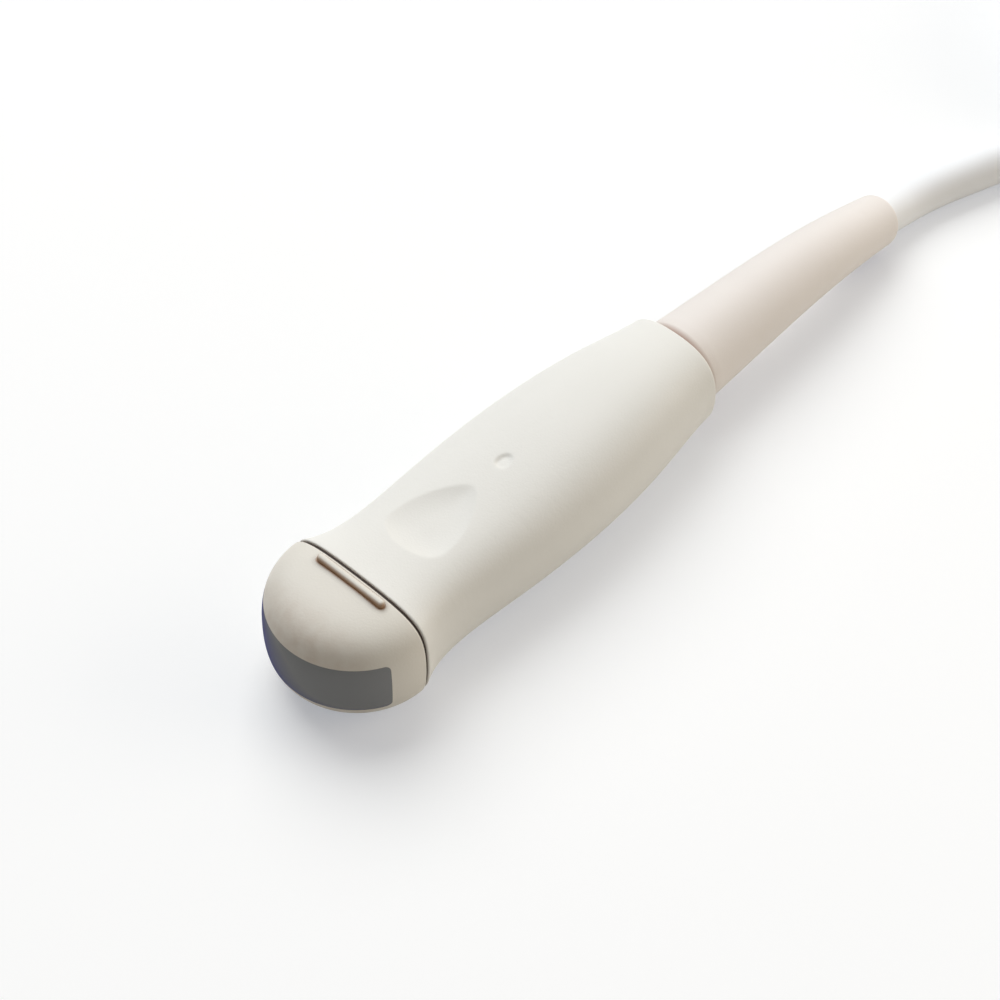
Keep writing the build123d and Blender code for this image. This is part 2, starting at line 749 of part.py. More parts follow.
with BuildPart() as braid_ferrule:
    with BuildSketch(cross_plane(prong_end_x - clamp_length)):
        Circle(ferrule_radius)
        Circle(cable_radius, mode=Mode.SUBTRACT)
    extrude(amount=clamp_length)
pieces["braid_ferrule"] = braid_ferrule


def cord_tube(route):
    """Round tube along straight runs joined by arcs as large as the runs allow."""
    points = [Vector(*point) for point in route]
    runs = [end - start for start, end in zip(points, points[1:])]
    radii = []
    for run, following in zip(runs, runs[1:]):
        half_turn = radians(run.get_angle(following)) / 2
        radii.append(cable_corner_share * min(run.length, following.length) / tan(half_turn))
    with BuildPart() as tube:
        with BuildLine():
            FilletPolyline(*points, radius=radii)
        with BuildSketch(Plane(origin=points[0], z_dir=runs[0])):
            Circle(cable_radius)
        sweep()
    return tube


lead_in_route = [
    mouth.origin,
    mouth.origin + mouth.z_dir * cable_first_run,
    (99.5, -4.9, cable_radius),
    (114.5, -14.2, cable_radius),
    (126.0, -25.0, cable_radius),
    (135.5, -34.5, cable_radius),
]
pieces["cable"] = cord_tube(lead_in_route)

lead_out_route = [
    (hank_x - 6.0, hank_y - 21.0, 17.5),
    (hank_x + 12.0, hank_y - 20.6, 18.3),
    (hank_x + 31.0, hank_y - 15.5, 26.5),
    (hank_x + 51.0, entry_y, plug_mid_z),
    (plug_x + plug_wall + plug_boot_flange, entry_y, plug_mid_z),
]
pieces["cable_end"] = cord_tube(lead_out_route)

tie_x = hank_x + tie_from_fold
tie_y = hank_y + (hank_inner + hank_outer) / 2

with BuildPart() as coil_tie:
    with BuildSketch(Plane(origin=(tie_x, tie_y, 0), x_dir=(0, 1, 0), z_dir=(1, 0, 0))):
        with Locations((0, hank_height / 2 + tie_thickness)):
            bundle = hank_columns * cable_diameter
            outer_corner = hank_edge_round + tie_thickness
            RectangleRounded(bundle + 2 * tie_thickness, hank_height + 2 * tie_thickness, outer_corner)
            RectangleRounded(bundle, hank_height, hank_edge_round, mode=Mode.SUBTRACT)
    extrude(amount=tie_width)
pieces["coil_tie"] = coil_tie

with BuildPart() as cable_coil:
    with BuildSketch(Plane.XY):
        with Locations((hank_x + hank_straight / 2, hank_y)):
            SlotCenterToCenter(hank_straight, 2 * hank_outer)
            SlotCenterToCenter(hank_straight, 2 * hank_inner, mode=Mode.SUBTRACT)
    extrude(amount=hank_height)
    fillet(cable_coil.edges().group_by(Axis.Z)[-1], hank_edge_round)
    fillet(cable_coil.edges().group_by(Axis.Z)[0], hank_edge_round)
    add(coil_tie.part, mode=Mode.SUBTRACT)
pieces["cable_coil"] = cable_coil

# Plug: two shells with corner posts, the contact block in the front one
post_pitch_x = plug_length - 2 * (plug_wall + post_from_wall)
post_pitch_z = plug_height - 2 * (plug_wall + post_from_wall)
inner_length = plug_length - 2 * plug_wall
inner_height = plug_height - 2 * plug_wall
inner_corner = plug_corner - plug_wall

with BuildPart() as plug_front_shell:
    with BuildSketch(plug_plane(plug_face_y)):
        RectangleRounded(plug_length, plug_height, plug_corner)
    extrude(amount=plug_front_depth)
    fillet(plug_front_shell.edges().group_by(Axis.Y)[0], plug_edge_round)
    with BuildSketch(plug_plane(plug_face_y + plug_face)):
        RectangleRounded(inner_length, inner_height, inner_corner)
    extrude(amount=plug_front_depth - plug_face, mode=Mode.SUBTRACT)
    with BuildSketch(plug_plane(plug_face_y + plug_face)):
        with GridLocations(post_pitch_x, post_pitch_z, 2, 2):
            Circle(post_radius)
    extrude(amount=plug_front_depth - plug_face)
    with BuildSketch(plug_plane(plug_split_y)):
        with GridLocations(post_pitch_x, post_pitch_z, 2, 2):
            Circle(plug_screw_radius + screw_clearance)
    extrude(amount=-plug_screw_bite, mode=Mode.SUBTRACT)
    with BuildSketch(plug_plane(plug_face_y)):
        Rectangle(contact_width + 2 * contact_clearance, contact_height + 2 * contact_clearance)
    extrude(amount=plug_face, mode=Mode.SUBTRACT)
    with BuildSketch(Plane(origin=(plug_x, entry_y, plug_mid_z), x_dir=(0, 1, 0), z_dir=(1, 0, 0))):
        Circle(plug_boot_neck + boot_clearance)
    extrude(amount=plug_wall, mode=Mode.SUBTRACT)
pieces["plug_front_shell"] = plug_front_shell

with BuildPart() as plug_back_shell:
    with BuildSketch(plug_plane(plug_split_y)):
        RectangleRounded(plug_length, plug_height, plug_corner)
    extrude(amount=plug_back_depth)
    fillet(plug_back_shell.edges().group_by(Axis.Y)[-1], plug_edge_round)
    with BuildSketch(plug_plane(plug_split_y)):
        RectangleRounded(inner_length, inner_height, inner_corner)
    extrude(amount=plug_back_depth - plug_face, mode=Mode.SUBTRACT)
    with BuildSketch(plug_plane(plug_split_y)):
        with GridLocations(post_pitch_x, post_pitch_z, 2, 2):
            Circle(post_radius)
    extrude(amount=plug_back_depth - plug_face)
    with BuildSketch(plug_plane(plug_back_y - plug_face)):
        Circle(lock_radius + lock_boss_wall)
    extrude(amount=-lock_boss_length)
    with BuildSketch(plug_plane(plug_split_y)):
        Circle(lock_radius + lock_clearance)
        with GridLocations(post_pitch_x, post_pitch_z, 2, 2):
            Circle(plug_screw_radius + screw_clearance)
    extrude(amount=plug_back_depth, mode=Mode.SUBTRACT)
    with BuildSketch(plug_plane(plug_back_y)):
        with GridLocations(post_pitch_x, post_pitch_z, 2, 2):
            Circle(plug_screw_head_radius + screw_clearance)
    extrude(amount=-plug_screw_head_height, mode=Mode.SUBTRACT)
pieces["plug_back_shell"] = plug_back_shell

with BuildPart() as plug_screws:
    with BuildSketch(plug_plane(plug_back_y - plug_screw_head_height)):
        with GridLocations(post_pitch_x, post_pitch_z, 2, 2):
            Circle(plug_screw_head_radius)
    extrude(amount=plug_screw_head_height)
    with BuildSketch(plug_plane(plug_back_y - plug_screw_head_height)):
        with GridLocations(post_pitch_x, post_pitch_z, 2, 2):
            Circle(plug_screw_radius)
    extrude(amount=-(plug_back_depth - plug_screw_head_height + plug_screw_bite - bond_line))
pieces["plug_screws"] = plug_screws

with BuildPart() as contact_block:
    with BuildSketch(plug_plane(plug_face_y + contact_recess)):
        Rectangle(contact_width, contact_height)
    extrude(amount=contact_depth)
    with BuildSketch(plug_plane(plug_face_y + plug_face)):
        Rectangle(contact_width + 2 * contact_flange, contact_flange_height)
    extrude(amount=contact_flange)
    with BuildSketch(plug_plane(plug_face_y + contact_recess)):
        with GridLocations(2 * socket_bank_offset, 0, 2, 1):
            with GridLocations(socket_pitch, socket_pitch, socket_columns, socket_rows):
                Rectangle(socket_size, socket_size)
    extrude(amount=socket_depth, mode=Mode.SUBTRACT)
    with BuildSketch(plug_plane(plug_face_y)):
        Circle(lock_radius + lock_clearance)
    extrude(amount=2 * contact_depth, mode=Mode.SUBTRACT)
pieces["contact_block"] = contact_block

with BuildPart() as plug_board:
    with BuildSketch(plug_plane(plug_face_y + contact_recess + contact_depth)):
        Rectangle(contact_width, contact_height)
        Circle(lock_radius + lock_boss_wall, mode=Mode.SUBTRACT)
    extrude(amount=plug_board_thickness)
pieces["plug_board"] = plug_board

# Quarter-turn lock: shaft with a cross key in front and a grip knob behind
clip_y = plug_back_y - plug_face - lock_boss_length - lock_clearance - clip_thickness
knob_y = plug_back_y + knob_gap

with BuildPart() as lock_shaft:
    with BuildSketch(plug_plane(plug_face_y - lock_reach)):
        Circle(lock_radius)
    extrude(amount=lock_reach + plug_depth + knob_gap + knob_disc)
    with BuildSketch(plug_plane(plug_face_y - lock_reach)):
        Rectangle(key_width, key_length)
    extrude(amount=key_thickness)
    with BuildSketch(plug_plane(clip_y)):
        Circle(lock_radius)
        Circle(lock_radius - clip_groove, mode=Mode.SUBTRACT)
    extrude(amount=clip_thickness, mode=Mode.SUBTRACT)
pieces["lock_shaft"] = lock_shaft

with BuildPart() as lock_clip:
    with BuildSketch(plug_plane(clip_y)):
        Circle(clip_radius)
        Circle(lock_radius - clip_groove, mode=Mode.SUBTRACT)
        with Locations((0, -clip_radius)):
            Rectangle(2 * (lock_radius - clip_groove), 2 * clip_radius, mode=Mode.SUBTRACT)
    extrude(amount=clip_thickness)
pieces["lock_clip"] = lock_clip

with BuildPart() as lock_knob:
    with BuildSketch(plug_plane(knob_y)):
        Circle(knob_radius)
    extrude(amount=knob_disc)
    with BuildSketch(plug_plane(knob_y + knob_disc)):
        SlotOverall(2 * (knob_radius - knob_rim), knob_grip, rotation=90)
    extrude(amount=knob_height - knob_disc)
    fillet(lock_knob.edges().group_by(Axis.Y)[-1], plug_edge_round)
    with BuildSketch(plug_plane(knob_y)):
        Circle(lock_radius)
    extrude(amount=knob_disc, mode=Mode.SUBTRACT)
pieces["lock_knob"] = lock_knob

with BuildPart() as plug_boot:
    entry = Plane(origin=(plug_x, entry_y, plug_mid_z), x_dir=(0, 1, 0), z_dir=(1, 0, 0))
    with BuildSketch(entry):
        Circle(plug_boot_radius)
    with BuildSketch(entry.offset(-plug_boot_length)):
        Circle(plug_boot_end_radius)
    loft()
    fillet(plug_boot.edges().group_by(Axis.X)[0], boot_end_round)
    with BuildSketch(entry):
        Circle(plug_boot_neck)
    extrude(amount=plug_wall)
    with BuildSketch(entry.offset(plug_wall)):
        Circle(plug_boot_flange_radius)
    extrude(amount=plug_boot_flange)
    with BuildSketch(entry.offset(-plug_boot_length)):
        Circle(cable_radius + cable_clearance)
    extrude(amount=2 * plug_boot_length, mode=Mode.SUBTRACT)
pieces["plug_boot"] = plug_boot

os.makedirs("parts", exist_ok=True)
for name, piece in pieces.items():
    piece.part.label = name
    export_step(piece.part, f"parts/{name}.step")
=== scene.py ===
"""Ultrasound transducer probe: finishes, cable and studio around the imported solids."""

import json
import math

import bmesh
import bpy
import numpy
from bpy.props import FloatProperty, FloatVectorProperty, IntProperty, PointerProperty
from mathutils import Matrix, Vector
from mathutils.bvhtree import BVHTree

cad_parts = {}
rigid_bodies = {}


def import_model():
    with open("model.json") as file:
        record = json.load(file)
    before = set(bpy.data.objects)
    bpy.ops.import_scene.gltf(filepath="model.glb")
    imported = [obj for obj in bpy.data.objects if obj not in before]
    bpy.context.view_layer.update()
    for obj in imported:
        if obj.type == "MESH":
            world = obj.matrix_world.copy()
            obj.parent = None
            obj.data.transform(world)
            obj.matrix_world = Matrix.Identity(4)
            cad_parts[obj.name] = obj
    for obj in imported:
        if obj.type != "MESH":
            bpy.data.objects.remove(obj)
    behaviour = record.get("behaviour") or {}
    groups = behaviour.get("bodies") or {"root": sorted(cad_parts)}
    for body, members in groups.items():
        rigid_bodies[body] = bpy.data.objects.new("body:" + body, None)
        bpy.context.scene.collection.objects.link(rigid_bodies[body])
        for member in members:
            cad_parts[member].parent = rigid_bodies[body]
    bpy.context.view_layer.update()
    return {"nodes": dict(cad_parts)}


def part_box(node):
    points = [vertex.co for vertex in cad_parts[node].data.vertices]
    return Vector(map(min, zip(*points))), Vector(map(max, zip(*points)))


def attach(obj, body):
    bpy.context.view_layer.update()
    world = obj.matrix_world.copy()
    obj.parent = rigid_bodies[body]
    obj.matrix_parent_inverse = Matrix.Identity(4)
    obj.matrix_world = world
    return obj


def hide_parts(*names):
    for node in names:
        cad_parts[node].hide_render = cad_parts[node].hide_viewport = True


for startup_object in list(bpy.data.objects):
    bpy.data.objects.remove(startup_object)

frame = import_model()

bl_info = {
    "name": "Ultrasound transducer probe",
    "version": (1, 0, 0),
    "blender": (4, 5, 0),
    "location": "3D View > Sidebar > Probe",
    "description": "Dresses a micro-convex ultrasound probe with its cable and plug",
    "category": "Object",
}


def metres(name, description, default):
    """Setting in metres."""
    return FloatProperty(name=name, description=description, default=default, unit="LENGTH")


def radians(name, description, default):
    """Setting in radians."""
    return FloatProperty(name=name, description=description, default=default, subtype="ANGLE")


def paint(name, description, default):
    """Setting for the colour of a surface, as a screen shows it."""
    return FloatVectorProperty(name=name, description=description, default=default, subtype="COLOR_GAMMA")


def tint(name, description, default):
    """Setting for the linear colour of a light."""
    return FloatVectorProperty(name=name, description=description, default=default, subtype="COLOR")


class ProbeCableSettings(bpy.types.PropertyGroup):
    """Sizes of the cable and of the hank that it is folded into."""

    diameter: metres("Diameter", "Outer diameter of the jacket", 0.007)
    length: metres("Free length", "From the boot's mouth to the plug", 1.70)
    hank_x: metres("Hank X", "Centre of the near fold", 0.1517)
    hank_y: metres("Hank Y", "Middle line of the hank", -0.010)
    hank_straight: metres("Straight length", "Between the two fold centres", 0.077)
    fold_points: IntProperty(
        name="Fold points", description="Route points in each half turn", default=6, min=4, max=12
    )


class ProbeHandleSettings(bpy.types.PropertyGroup):
    """Thumb recess and index dimple on top of the handle."""

    recess_from_seam: metres("Recess start", "From the seam to the recess", 0.0087)
    recess_length: metres("Recess length", "Along the handle", 0.0166)
    recess_half_width: metres("Recess half width", "Half its width at the front", 0.0058)
    recess_depth: metres("Recess depth", "At its deepest", 0.00064)
    recess_slope_width: metres("Recess slope", "From its edge to the flat of its floor", 0.0046)
    dimple_from_seam: metres("Dimple start", "From the seam to the dimple", 0.0299)
    dimple_length: metres("Dimple length", "Along the handle", 0.0047)
    dimple_half_width: metres("Dimple half width", "Half its width at the front", 0.00135)
    dimple_depth: metres("Dimple depth", "Of its floor", 0.00025)
    dimple_slope_width: metres("Dimple slope", "From its edge to its floor", 0.0007)


class ProbePlugSettings(bpy.types.PropertyGroup):
    """Small details of the plug, and the strap round the hank."""

    pin_pitch: metres("Pin pitch", "From one contact to the next", 0.0024)
    pin_columns: IntProperty(name="Pin columns", description="Contacts across one bank", default=5, min=1)
    pin_rows: IntProperty(name="Pin rows", description="Contacts up one bank", default=4, min=1)
    bank_spacing: metres("Bank spacing", "Between the middles of the two banks", 0.020)
    pin_radius: metres("Pin radius", "Radius at the foot of a contact", 0.00032)
    pin_length: metres("Pin length", "Height of a contact in its socket", 0.00165)
    rib_count: IntProperty(name="Grip ribs", description="Ribs round the lock knob", default=40, min=6)
    rib_radius: metres("Rib radius", "Half the width of a rib", 0.00055)
    drive_radius: metres("Drive radius", "Hexagon in a screw's head, over corners", 0.00118)
    strap_width: metres("Strap width", "Width of the strap round the hank", 0.016)
    strap_thickness: metres("Strap thickness", "One layer of the strap", 0.0008)


class ProbeFinishSettings(bpy.types.PropertyGroup):
    """Colours of the outer pieces."""

    handle: paint("Handle", "Moulded handle", (0.922, 0.917, 0.898))
    nose: paint("Nose", "Moulded nose", (0.893, 0.875, 0.838))
    lens: paint("Lens", "Silicone lens", (0.540, 0.548, 0.562))
    seal: paint("Seal", "Bead in the seam", (0.17, 0.11, 0.075))
    boot: paint("Boot", "Strain relief", (0.940, 0.914, 0.895))
    cable: paint("Cable", "Cable jacket", (0.978, 0.984, 0.995))
    plug: paint("Plug", "Plug shells", (0.880, 0.875, 0.855))
    knob: paint("Knob", "Lock knob", (0.50, 0.51, 0.52))
    tie: paint("Tie", "Cable tie", (0.60, 0.61, 0.62))


class ProbeStageSettings(bpy.types.PropertyGroup):
    """Camera, floor and light."""

    azimuth: radians("Azimuth", "Heading of the view from +Y to +X", 0.80692)
    elevation: radians("Elevation", "Downward angle of the view", 0.85624)
    distance: metres("Distance", "From the camera to its target", 0.46528)
    target: FloatVectorProperty(
        name="Target", description="Point in the middle of the view", default=(-0.02448, 0.00068, 0.01015),
        subtype="TRANSLATION", unit="LENGTH"
    )
    lens: FloatProperty(
        name="Lens", description="Focal length in millimetres", default=106.97, subtype="DISTANCE_CAMERA"
    )
    floor_size: metres("Floor", "Side of the floor", 6.0)
    floor_colour: paint("Floor colour", "Paper of the floor", (0.892, 0.882, 0.862))
    floor_glow: tint("Floor glow", "Added to what the camera sees of the floor", (0.295, 0.318, 0.360))
    sky_colour: tint("Sky colour", "Warm light from all sides", (1.0, 0.92, 0.79))
    sky_level: FloatProperty(
        name="Sky level", description="Strength of the light from all sides", default=0.27
    )
    sky_lean: FloatProperty(
        name="Sky lean", description="How much more light comes from the cable's side than from the nose's",
        default=0.90
    )
    fill_colour: tint("Fill colour", "Warm light of the low lamp", (1.0, 0.91, 0.79))
    fill_power: FloatProperty(
        name="Fill power", description="Low lamp beside the cable", default=2.2, unit="POWER"
    )
    fill_size: metres("Fill size", "Side of the low lamp", 0.6)
    fill_azimuth: radians("Fill azimuth", "Side that the low lamp stands on, from +Y to +X", 2.3)
    fill_elevation: radians("Fill elevation", "Height angle of the low lamp", 0.30)
    fill_distance: metres("Fill distance", "From the low lamp to the probe", 0.9)
    key_colour: tint("Key colour", "Daylight of the large lamp", (0.93, 0.965, 1.0))
    key_power: FloatProperty(
        name="Key power", description="Large lamp behind and above", default=37.5, unit="POWER"
    )
    key_size: metres("Key size", "Side of the large lamp", 1.8)
    key_azimuth: radians("Key azimuth", "Side that the lamp stands on, from +Y to +X", 0.50)
    key_elevation: radians("Key elevation", "Height angle of the lamp", 0.90)
    key_distance: metres("Key distance", "From the large lamp to the probe", 2.0)


# Height of the probe's axis over the floor, and place of the seam between nose and handle
AXIS_Z = 0.01015
SEAM_X = -0.055704
# Raised bar on the nose: middle line, half of its straight part, and from its middle line to its foot
BAR_X = -0.057304
BAR_HALF_STRAIGHT = 0.00635
BAR_FOOT = 0.00062
# Painted shade in the grooves, brown, from ambient occlusion: colours, reach, and the openness at which it is
# full or gone
NOSE_CREASE_SHADE, NOSE_CREASE_SHADE_REACH = (0.42, 0.30, 0.22), 0.0011
BOOT_CREASE_SHADE, BOOT_CREASE_SHADE_REACH = (0.48, 0.36, 0.29), 0.0036
CREASE_SHADE_FULL, CREASE_SHADE_GONE = 0.52, 0.97
# Painted shade: the line along the bar's front foot, the line at the boot's root next to the handle's rim,
# and the patches towards the front of the nose
NOSE_PAINTED_SHADE, ROOT_PAINTED_SHADE, PAINTED_SHADE_SHARE = (0.64, 0.48, 0.34), (0.52, 0.35, 0.24), 0.9
BAR_SHADE_WIDTH = 0.00036
ROOT_FULL_X, ROOT_GONE_X = 0.0158, 0.0174
PATCHES_NONE_X, PATCHES_FULL_X = -0.0625, -0.0685
PATCH_NOISE, PATCH_SHARES = (0.35, 0.65), (0.10, 0.26)
# Nearest distance that the camera shows
CAMERA_NEAR = 0.01
# The lens's painted dark bluish reflection, and how far the surface turns away where it starts and where it
# is full
LENS_PAINTED_REFLECTION, REFLECTION_STARTS, REFLECTION_FULL = (0.22, 0.23, 0.45), 0.56, 0.88


def linear(colour):
    """Screen colour as the linear RGBA that shader sockets take."""
    return tuple(((c + 0.055) / 1.055) ** 2.4 if c > 0.04045 else c / 12.92 for c in colour) + (1.0,)


def compass(azimuth, elevation):
    """Unit vector towards a heading counted from +Y to +X, raised by the elevation."""
    flat = math.cos(elevation)
    return Vector((math.sin(azimuth) * flat, math.cos(azimuth) * flat, math.sin(elevation)))


def clear_material(name):
    """The frame's material of this name, or a new one, its emptied tree and the socket of its surface."""
    material = bpy.data.materials.get(name) or bpy.data.materials.new(name)
    material.use_nodes = True
    tree = material.node_tree
    tree.nodes.clear()
    return material, tree, tree.nodes.new("ShaderNodeOutputMaterial").inputs["Surface"]


def new_material(name):
    """Material with only a principled shader."""
    material, tree, surface = clear_material(name)
    shader = tree.nodes.new("ShaderNodeBsdfPrincipled")
    tree.links.new(shader.outputs["BSDF"], surface)
    return material, tree, shader


def tree_and_shader(material):
    """Node tree and principled shader of a finish that was already made."""
    return material.node_tree, material.node_tree.nodes["Principled BSDF"]


def reckon(tree, operation, first, second=0.0):
    """Result of one sum; what goes in is a socket or a value."""
    made = tree.nodes.new("ShaderNodeMath")
    made.operation = operation
    for socket, feed in zip(made.inputs, (first, second)):
        if isinstance(feed, bpy.types.NodeSocket):
            tree.links.new(feed, socket)
        else:
            socket.default_value = feed
    return made.outputs["Value"]


def ramp(tree, value, first, last, start, end):
    """Runs from start to end while the value runs from first to last."""
    made = tree.nodes.new("ShaderNodeMapRange")
    for label, limit in (("From Min", first), ("From Max", last), ("To Min", start), ("To Max", end)):
        made.inputs[label].default_value = limit
    tree.links.new(value, made.inputs["Value"])
    return made.outputs["Result"]


def split_place(tree, kind="Object"):
    """X, Y and Z sockets of a place, in the piece's own coordinates unless another kind is asked for."""
    place = tree.nodes.new("ShaderNodeTexCoord")
    split = tree.nodes.new("ShaderNodeSeparateXYZ")
    tree.links.new(place.outputs[kind], split.inputs["Vector"])
    return split.outputs["X"], split.outputs["Y"], split.outputs["Z"]


def object_noise(tree, scale, detail=2.0):
    """Noise in the piece's own coordinates; scale is in waves per metre."""
    place = tree.nodes.new("ShaderNodeTexCoord")
    noise = tree.nodes.new("ShaderNodeTexNoise")
    noise.inputs["Scale"].default_value = scale
    noise.inputs["Detail"].default_value = detail
    tree.links.new(place.outputs["Object"], noise.inputs["Vector"])
    return noise.outputs["Fac"]


def add_mottle(tree, shader, colour, change, scale):
    """Slight drift of the base colour."""
    mix = tree.nodes.new("ShaderNodeMix")
    mix.data_type = "RGBA"
    shade = linear(colour)
    mix.inputs["A"].default_value = tuple(c * (1 - change) for c in shade[:3]) + (1.0,)
    mix.inputs["B"].default_value = tuple(min(1.0, c * (1 + change)) for c in shade[:3]) + (1.0,)
    tree.links.new(object_noise(tree, scale), mix.inputs["Factor"])
    tree.links.new(mix.outputs["Result"], shader.inputs["Base Color"])


def lay_over(tree, shader, colour, share):
    """Another colour over the base colour, by the share that a socket brings."""
    under = shader.inputs["Base Color"].links[0].from_socket
    mix = tree.nodes.new("ShaderNodeMix")
    mix.data_type = "RGBA"
    mix.inputs["B"].default_value = linear(colour)
    tree.links.new(share, mix.inputs["Factor"])
    tree.links.new(under, mix.inputs["A"])
    tree.links.new(mix.outputs["Result"], shader.inputs["Base Color"])


def paint_crease_shade(tree, shader, shade_colour, reach):
    """Painted shade, brown, darkening grooves and the foot of raised edges where ambient occlusion finds
    them.
    """
    crease = tree.nodes.new("ShaderNodeAmbientOcclusion")
    crease.samples = 8
    crease.inputs["Distance"].default_value = reach
    # Painted shade: the base colour goes brown where ambient occlusion is low
    lay_over(tree, shader, shade_colour, ramp(tree, crease.outputs["AO"], CREASE_SHADE_FULL, CREASE_SHADE_GONE, 1.0, 0.0))


def paint_nose_shade(tree, shader):
    """Painted shade: a brown line along the front foot of the raised bar, the side away from the key lamp,
    and faint patches of shade towards the front of the nose.
    """
    x, y, z = split_place(tree)
    behind = reckon(tree, "SUBTRACT", x, BAR_X)
    past_end = reckon(tree, "SUBTRACT", reckon(tree, "ABSOLUTE", y), BAR_HALF_STRAIGHT)
    off_end = reckon(tree, "MAXIMUM", past_end, 0.0)
    squares = [reckon(tree, "MULTIPLY", part, part) for part in (behind, off_end)]
    reach = reckon(tree, "SQRT", reckon(tree, "ADD", *squares))
    from_foot = reckon(tree, "ABSOLUTE", reckon(tree, "SUBTRACT", reach, BAR_FOOT))
    line = ramp(tree, from_foot, 0.0, BAR_SHADE_WIDTH, PAINTED_SHADE_SHARE, 0.0)
    front = ramp(tree, behind, 0.0, BAR_FOOT, 1.0, 0.0)
    on_top = reckon(tree, "GREATER_THAN", z, AXIS_Z)
    along_bar = reckon(tree, "MULTIPLY", reckon(tree, "MULTIPLY", line, front), on_top)
    front_shade = ramp(tree, x, PATCHES_NONE_X, PATCHES_FULL_X, 0.0, 1.0)
    noise = object_noise(tree, scale=420.0, detail=4.0)
    patches = ramp(tree, noise, *PATCH_NOISE, *PATCH_SHARES)
    share = reckon(tree, "MAXIMUM", along_bar, reckon(tree, "MULTIPLY", front_shade, patches))
    # Painted shade along the bar's front foot and in patches towards the nose's front
    lay_over(tree, shader, NOSE_PAINTED_SHADE, share)


def add_polish(tree, shader, middle, spread, scale):
    """Roughness that wanders to both sides of a middle value."""
    noise = object_noise(tree, scale)
    tree.links.new(ramp(tree, noise, 0.0, 1.0, middle - spread, middle + spread), shader.inputs["Roughness"])


def add_bump(tree, shader, height, depth, strength):
    """Fine relief from a socket that brings the height."""
    bump = tree.nodes.new("ShaderNodeBump")
    bump.inputs["Strength"].default_value = strength
    bump.inputs["Distance"].default_value = depth
    tree.links.new(height, bump.inputs["Height"])
    tree.links.new(bump.outputs["Normal"], shader.inputs["Normal"])


def add_grain(tree, shader, scale, depth, strength):
    """Fine spark texture of the mould."""
    add_bump(tree, shader, object_noise(tree, scale, detail=3.0), depth, strength)


def moulded_plastic(name, colour, roughness=0.5):
    """Matte moulded plastic with a fine spark-eroded grain."""
    material, tree, shader = new_material(name)
    add_mottle(tree, shader, colour, change=0.018, scale=70.0)
    add_polish(tree, shader, roughness, spread=0.05, scale=900.0)
    add_grain(tree, shader, scale=2600.0, depth=0.00005, strength=0.5)
    return material


def nose_with_painted_shade(name, colour):
    """Plastic of the nose with painted shade in its creases, along the bar's front foot and towards its
    front.
    """
    material = moulded_plastic(name, colour)
    tree, shader = tree_and_shader(material)
    paint_crease_shade(tree, shader, NOSE_CREASE_SHADE, NOSE_CREASE_SHADE_REACH)
    paint_nose_shade(tree, shader)
    return material


def soft_rubber(name, colour, roughness, grain=0.3, sheen=0.0):
    """Silicone or soft-touch elastomer, with a faint sheen where asked for."""
    material, tree, shader = new_material(name)
    shader.inputs["Sheen Weight"].default_value = sheen
    add_mottle(tree, shader, colour, change=0.02, scale=110.0)
    add_polish(tree, shader, roughness, spread=0.06, scale=700.0)
    add_grain(tree, shader, scale=3200.0, depth=0.00003, strength=grain)
    return material


def boot_with_painted_shade(name, colour):
    """Rubber of the boot, with painted shade round its root and a painted brown shade line where it leaves
    the handle.
    """
    material = soft_rubber(name, colour, roughness=0.6, sheen=0.40)
    tree, shader = tree_and_shader(material)
    paint_crease_shade(tree, shader, BOOT_CREASE_SHADE, BOOT_CREASE_SHADE_REACH)
    x = split_place(tree)[0]
    # Painted shade: brown line on the boot's root next to the handle's rim
    lay_over(tree, shader, ROOT_PAINTED_SHADE, ramp(tree, x, ROOT_FULL_X, ROOT_GONE_X, PAINTED_SHADE_SHARE, 0.0))
    return material


def lens_silicone(name, colour):
    """Grey silicone with a painted dark bluish reflection at a flat angle."""
    material = soft_rubber(name, colour, roughness=0.7, grain=0.15)
    tree, shader = tree_and_shader(material)
    shader.inputs["Specular IOR Level"].default_value = 0.25
    facing = tree.nodes.new("ShaderNodeLayerWeight").outputs["Facing"]
    # Painted dark bluish reflection where the lens turns away from the view
    lay_over(tree, shader, LENS_PAINTED_REFLECTION, ramp(tree, facing, REFLECTION_STARTS, REFLECTION_FULL, 0.0, 1.0))
    return material


def satin_jacket(name, colour):
    """White extruded cable jacket with a satin skin."""
    material, tree, shader = new_material(name)
    shader.inputs["Specular IOR Level"].default_value = 0.3
    add_mottle(tree, shader, colour, change=0.008, scale=160.0)
    add_polish(tree, shader, 0.56, spread=0.06, scale=700.0)
    add_grain(tree, shader, scale=3200.0, depth=0.00002, strength=0.15)
    return material


def worked_metal(name, colour, roughness=0.3):
    """Machined or plated metal with fine tool marks."""
    material, tree, shader = new_material(name)
    shader.inputs["Metallic"].default_value = 1.0
    add_mottle(tree, shader, colour, change=0.05, scale=400.0)
    add_polish(tree, shader, roughness, spread=0.08, scale=1500.0)
    add_grain(tree, shader, scale=5000.0, depth=0.00001, strength=0.3)
    return material


def filled_resin(name, colour, roughness=0.45):
    """Cast epoxy or ceramic with a speckled filler."""
    material, tree, shader = new_material(name)
    add_mottle(tree, shader, colour, change=0.12, scale=2500.0)
    add_polish(tree, shader, roughness, spread=0.1, scale=900.0)
    add_grain(tree, shader, scale=4000.0, depth=0.00002, strength=0.4)
    return material


def woven_fabric(name, colour):
    """Hook-and-loop band: looped pile as cells, with a soft sheen."""
    material, tree, shader = new_material(name)
    shader.inputs["Sheen Weight"].default_value = 0.4
    shader.inputs["Roughness"].default_value = 0.85
    add_mottle(tree, shader, colour, change=0.10, scale=1600.0)
    place = tree.nodes.new("ShaderNodeTexCoord")
    loops = tree.nodes.new("ShaderNodeTexVoronoi")
    loops.inputs["Scale"].default_value = 1500.0
    tree.links.new(place.outputs["Object"], loops.inputs["Vector"])
    add_bump(tree, shader, loops.outputs["Distance"], depth=0.0003, strength=0.8)
    return material


